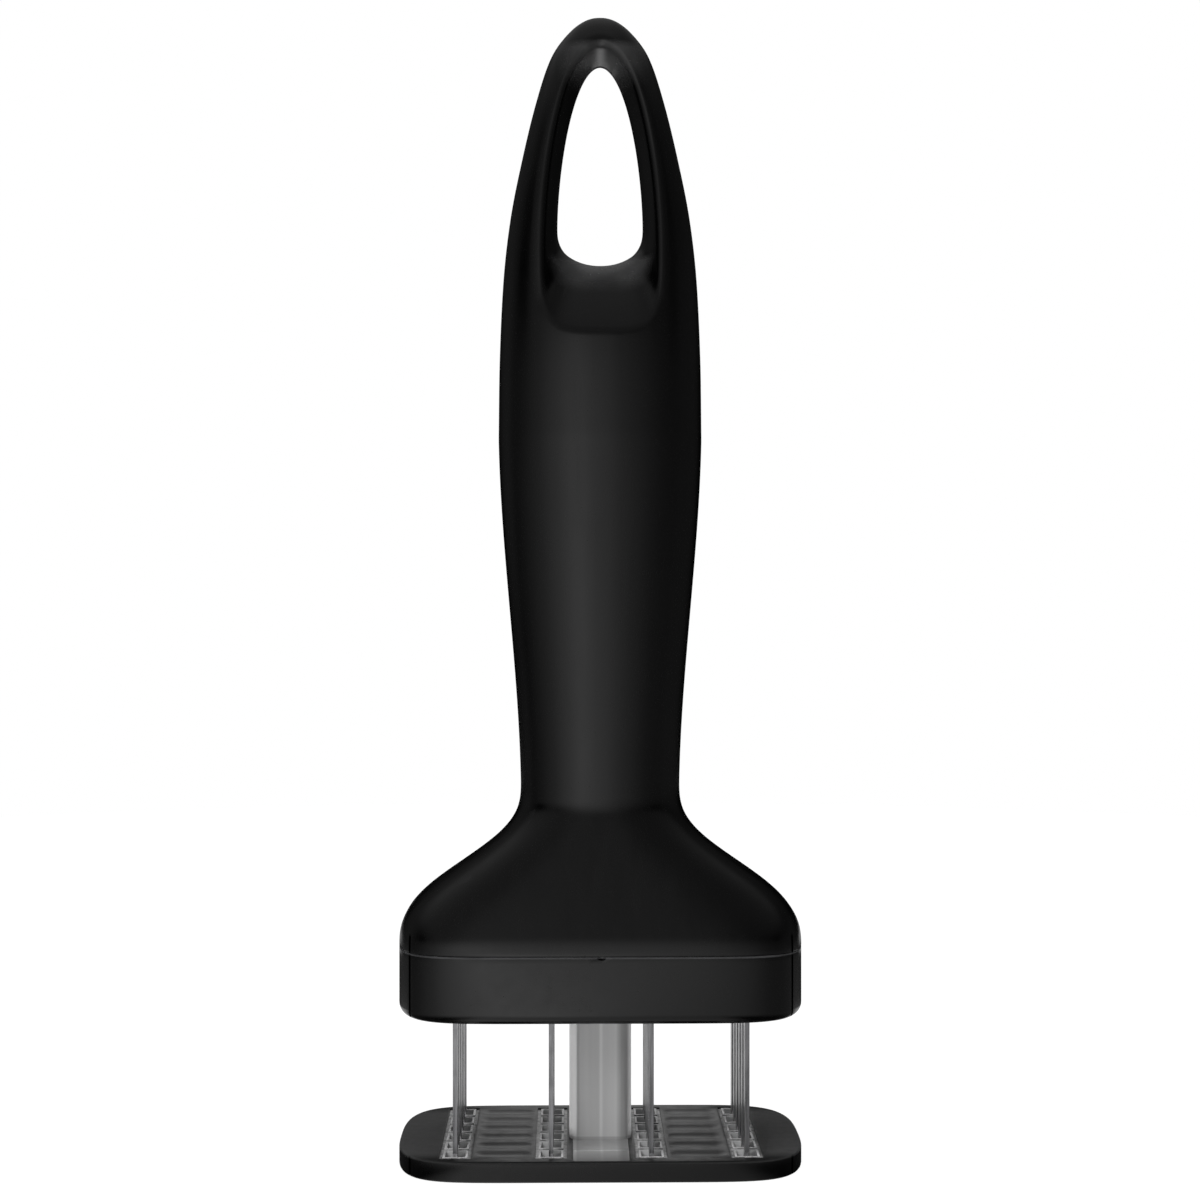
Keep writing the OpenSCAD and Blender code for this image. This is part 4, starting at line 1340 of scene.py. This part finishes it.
class TENDERIZER_OT_stage(bpy.types.Operator):
    """Set the floor, the surroundings, the lamps and the camera."""

    bl_idname = "tenderizer.stage"
    bl_label = "Studio"

    def execute(self, context):
        s = context.scene.tenderizer_studio
        self.floor(s)
        self.surroundings(context)
        for name, place, size, power in (
            ("key_lamp", (-0.45, -0.6, 0.75), 0.6, s.key),
            ("fill_lamp", (0.6, -0.35, 0.6), 0.7, s.fill),
            ("top_lamp", (0.0, 0.25, 0.9), 0.7, s.fill),
        ):
            lamp = self.lamp(context, name, place, LAMP_AIM - Vector(place), (size, size), power)
            lamp.visible_glossy = False
        for name, place, way, size, level, spread in (
            ("plate_card", (0, 0.06, 0.0275), (0, -1, 0), (0.05, 0.035), s.plate_card, 180),
            ("brow_card", (-0.02, 0.08, 0.118), (0, 0, 1), (0.2, 0.12), s.brow_card, 150),
            ("rear_card", (0, 0.08, 0.105), (0, -1, 0), (0.018, 0.12), s.rear_card, 180),
            ("shoulder_card", (0, 0.1, 0.125), (0, -1, -1), (0.05, 0.04), s.rear_card, 180),
        ):
            power = level * math.pi * size[0] * size[1]
            card = self.lamp(context, name, place, Vector(way), size, power)
            card.data.spread = math.radians(spread)
            card.visible_camera = card.visible_transmission = False
        view = bpy.data.cameras.new("camera")
        view.lens, view.sensor_width, view.clip_start = s.camera_lens, 36.0, 0.01
        aim = Vector((s.camera_side, s.camera_away, 0))
        camera = self.place_object(context, view, (-aim.x, -aim.y, s.camera_h), aim)
        context.scene.camera = camera
        context.scene.view_settings.view_transform = "Standard"
        return {"FINISHED"}

    def place_object(self, context, data, place, way):
        """An object for a lamp or the camera, at a place and turned one way."""
        obj = bpy.data.objects.new(data.name, data)
        obj.location = place
        obj.rotation_euler = way.to_track_quat("-Z", "Y").to_euler()
        context.scene.collection.objects.link(obj)
        return obj

    def lamp(self, context, name, place, way, size, power):
        """A lamp with a rectangular face."""
        light = bpy.data.lights.new(name, "AREA")
        light.shape, light.energy = "RECTANGLE", power
        light.size, light.size_y = size
        return self.place_object(context, light, place, way)

    def floor(self, s):
        """A pale floor that takes the shadow, and is a part of the studio to reflections."""
        bm = bmesh.new()
        bmesh.ops.create_circle(bm, cap_ends=True, segments=128, radius=s.floor_r)
        floor = to_object(bm, "floor")
        finish = Finish("floor_pale")
        x, y, tree = finish.x, finish.y, finish.tree
        aside = abs(x)
        reach = new_node(tree, "VectorMath", {0: finish.place}, operation="LENGTH")
        away = Number(reach.outputs["Value"])
        finish.give("Base Color", s.floor_colour)
        finish.give("Specular IOR Level", 0.0)
        finish.give("Roughness", finish.noise(6, detail=2.0).ramp(0.3, 0.7, 0.85, 0.95))
        level = studio_level(x, y, -0.02)
        level *= x.ramp(-0.02, 0.02, 0.9, 1.15) * away.ramp(0.25, 0.5, 1.25, 1.0)
        close = away.ramp(0.05, 0.08, 1.0, 0.0) * y.ramp(0.02, 0.03, 1.0, 0.0)
        front = x.ramp(-0.03, 0.03, 0.75, 0.33) * aside.ramp(0.0245, 0.031, 1.0, 0.02)
        near = away.ramp(0.13, 0.11, 0.0, 0.75) * y.ramp(0.02, 0.04, 0.0, 1.0)
        far = away.ramp(0.22, 0.27, 0.0, 0.6) * away.ramp(0.45, 0.55, 1.0, 0.0)
        far *= y.ramp(0.0, 0.1, 0.0, 1.0) * aside.ramp(0.07, 0.1, 0.0, 1.0)
        far *= (aside - y * 0.6).ramp(0.0, 0.05, 1.0, 0.0)
        level = calc("MAXIMUM", between(close, level, front), calc("MAXIMUM", near, far))
        clear, glossy = rays(tree)
        glow = new_node(tree, "Emission", {"Strength": between(clear, level, FLOOR_WHITE)})
        share = calc("MAXIMUM", clear * CAMERA_SHARE, glossy * GLOSSY_SHARE)
        both = new_node(tree, "MixShader", {0: share})
        for slot, shader in zip(both.inputs[1:], (finish.shader, glow)):
            tree.links.new(shader.outputs[0], slot)
        tree.links.new(both.outputs[0], tree.nodes["Material Output"].inputs["Surface"])
        floor.data.materials.append(finish.material)

    def surroundings(self, context):
        """White to the camera and through the post, and the shaped studio to all else."""
        world = bpy.data.worlds.new("studio")
        context.scene.world = world
        world.use_nodes = True
        tree = world.node_tree
        x, y, z = Number(new_node(tree, "TexCoord").outputs["Generated"]).axes()
        dark = x.ramp(-0.6, -0.4, 0.6, 0.0) * y.ramp(0.05, 0.2, 0.0, 1.0)
        dark *= z.ramp(-0.09, -0.03, 1.0, 0.0)
        low = z.ramp(-0.2, -0.14, 0.6, 0.0) * (y + x).ramp(0.15, 0.4, 1.0, 0.0)
        low *= y.ramp(0.2, 0.4, 0.0, 1.0)
        level = calc("MAXIMUM", studio_level(x, y, z) * (1.0 - dark), low)
        back = tree.nodes["Background"].inputs
        feed(back["Color"], (1.0, 1.0, 1.0))
        feed(back["Strength"], between(rays(tree)[0], level, 1.0))


GROUPS = {
    "tenderizer_handle": HandleSizes,
    "tenderizer_head": HeadSizes,
    "tenderizer_finish": FinishLevels,
    "tenderizer_studio": StudioLevels,
}
STEPS = (
    TENDERIZER_OT_stage,
    TENDERIZER_OT_handle,
    TENDERIZER_OT_skirt,
    TENDERIZER_OT_foot,
    TENDERIZER_OT_post,
    TENDERIZER_OT_blades,
    TENDERIZER_OT_inner_works,
    TENDERIZER_OT_screws,
)


class TENDERIZER_PT_pieces(bpy.types.Panel):
    """Lists the pieces and their sizes in the sidebar."""

    bl_idname = "TENDERIZER_PT_pieces"
    bl_label = "Tenderizer"
    bl_space_type = "VIEW_3D"
    bl_region_type = "UI"
    bl_category = "Tenderizer"

    def draw(self, context):
        for step in STEPS:
            self.layout.operator(step.bl_idname)
        for name, group in GROUPS.items():
            box = self.layout.box()
            for key in group.__annotations__:
                box.prop(getattr(context.scene, name), key)


def register():
    for cls in (*GROUPS.values(), *STEPS, TENDERIZER_PT_pieces):
        bpy.utils.register_class(cls)
    for name, group in GROUPS.items():
        setattr(bpy.types.Scene, name, PointerProperty(type=group))


def unregister():
    for name in GROUPS:
        delattr(bpy.types.Scene, name)
    for cls in (TENDERIZER_PT_pieces, *reversed(STEPS), *reversed(list(GROUPS.values()))):
        bpy.utils.unregister_class(cls)


def main():
    register()
    for step in STEPS:
        group, name = step.bl_idname.split(".")
        getattr(getattr(bpy.ops, group), name)()


if __name__ == "__main__":
    main()
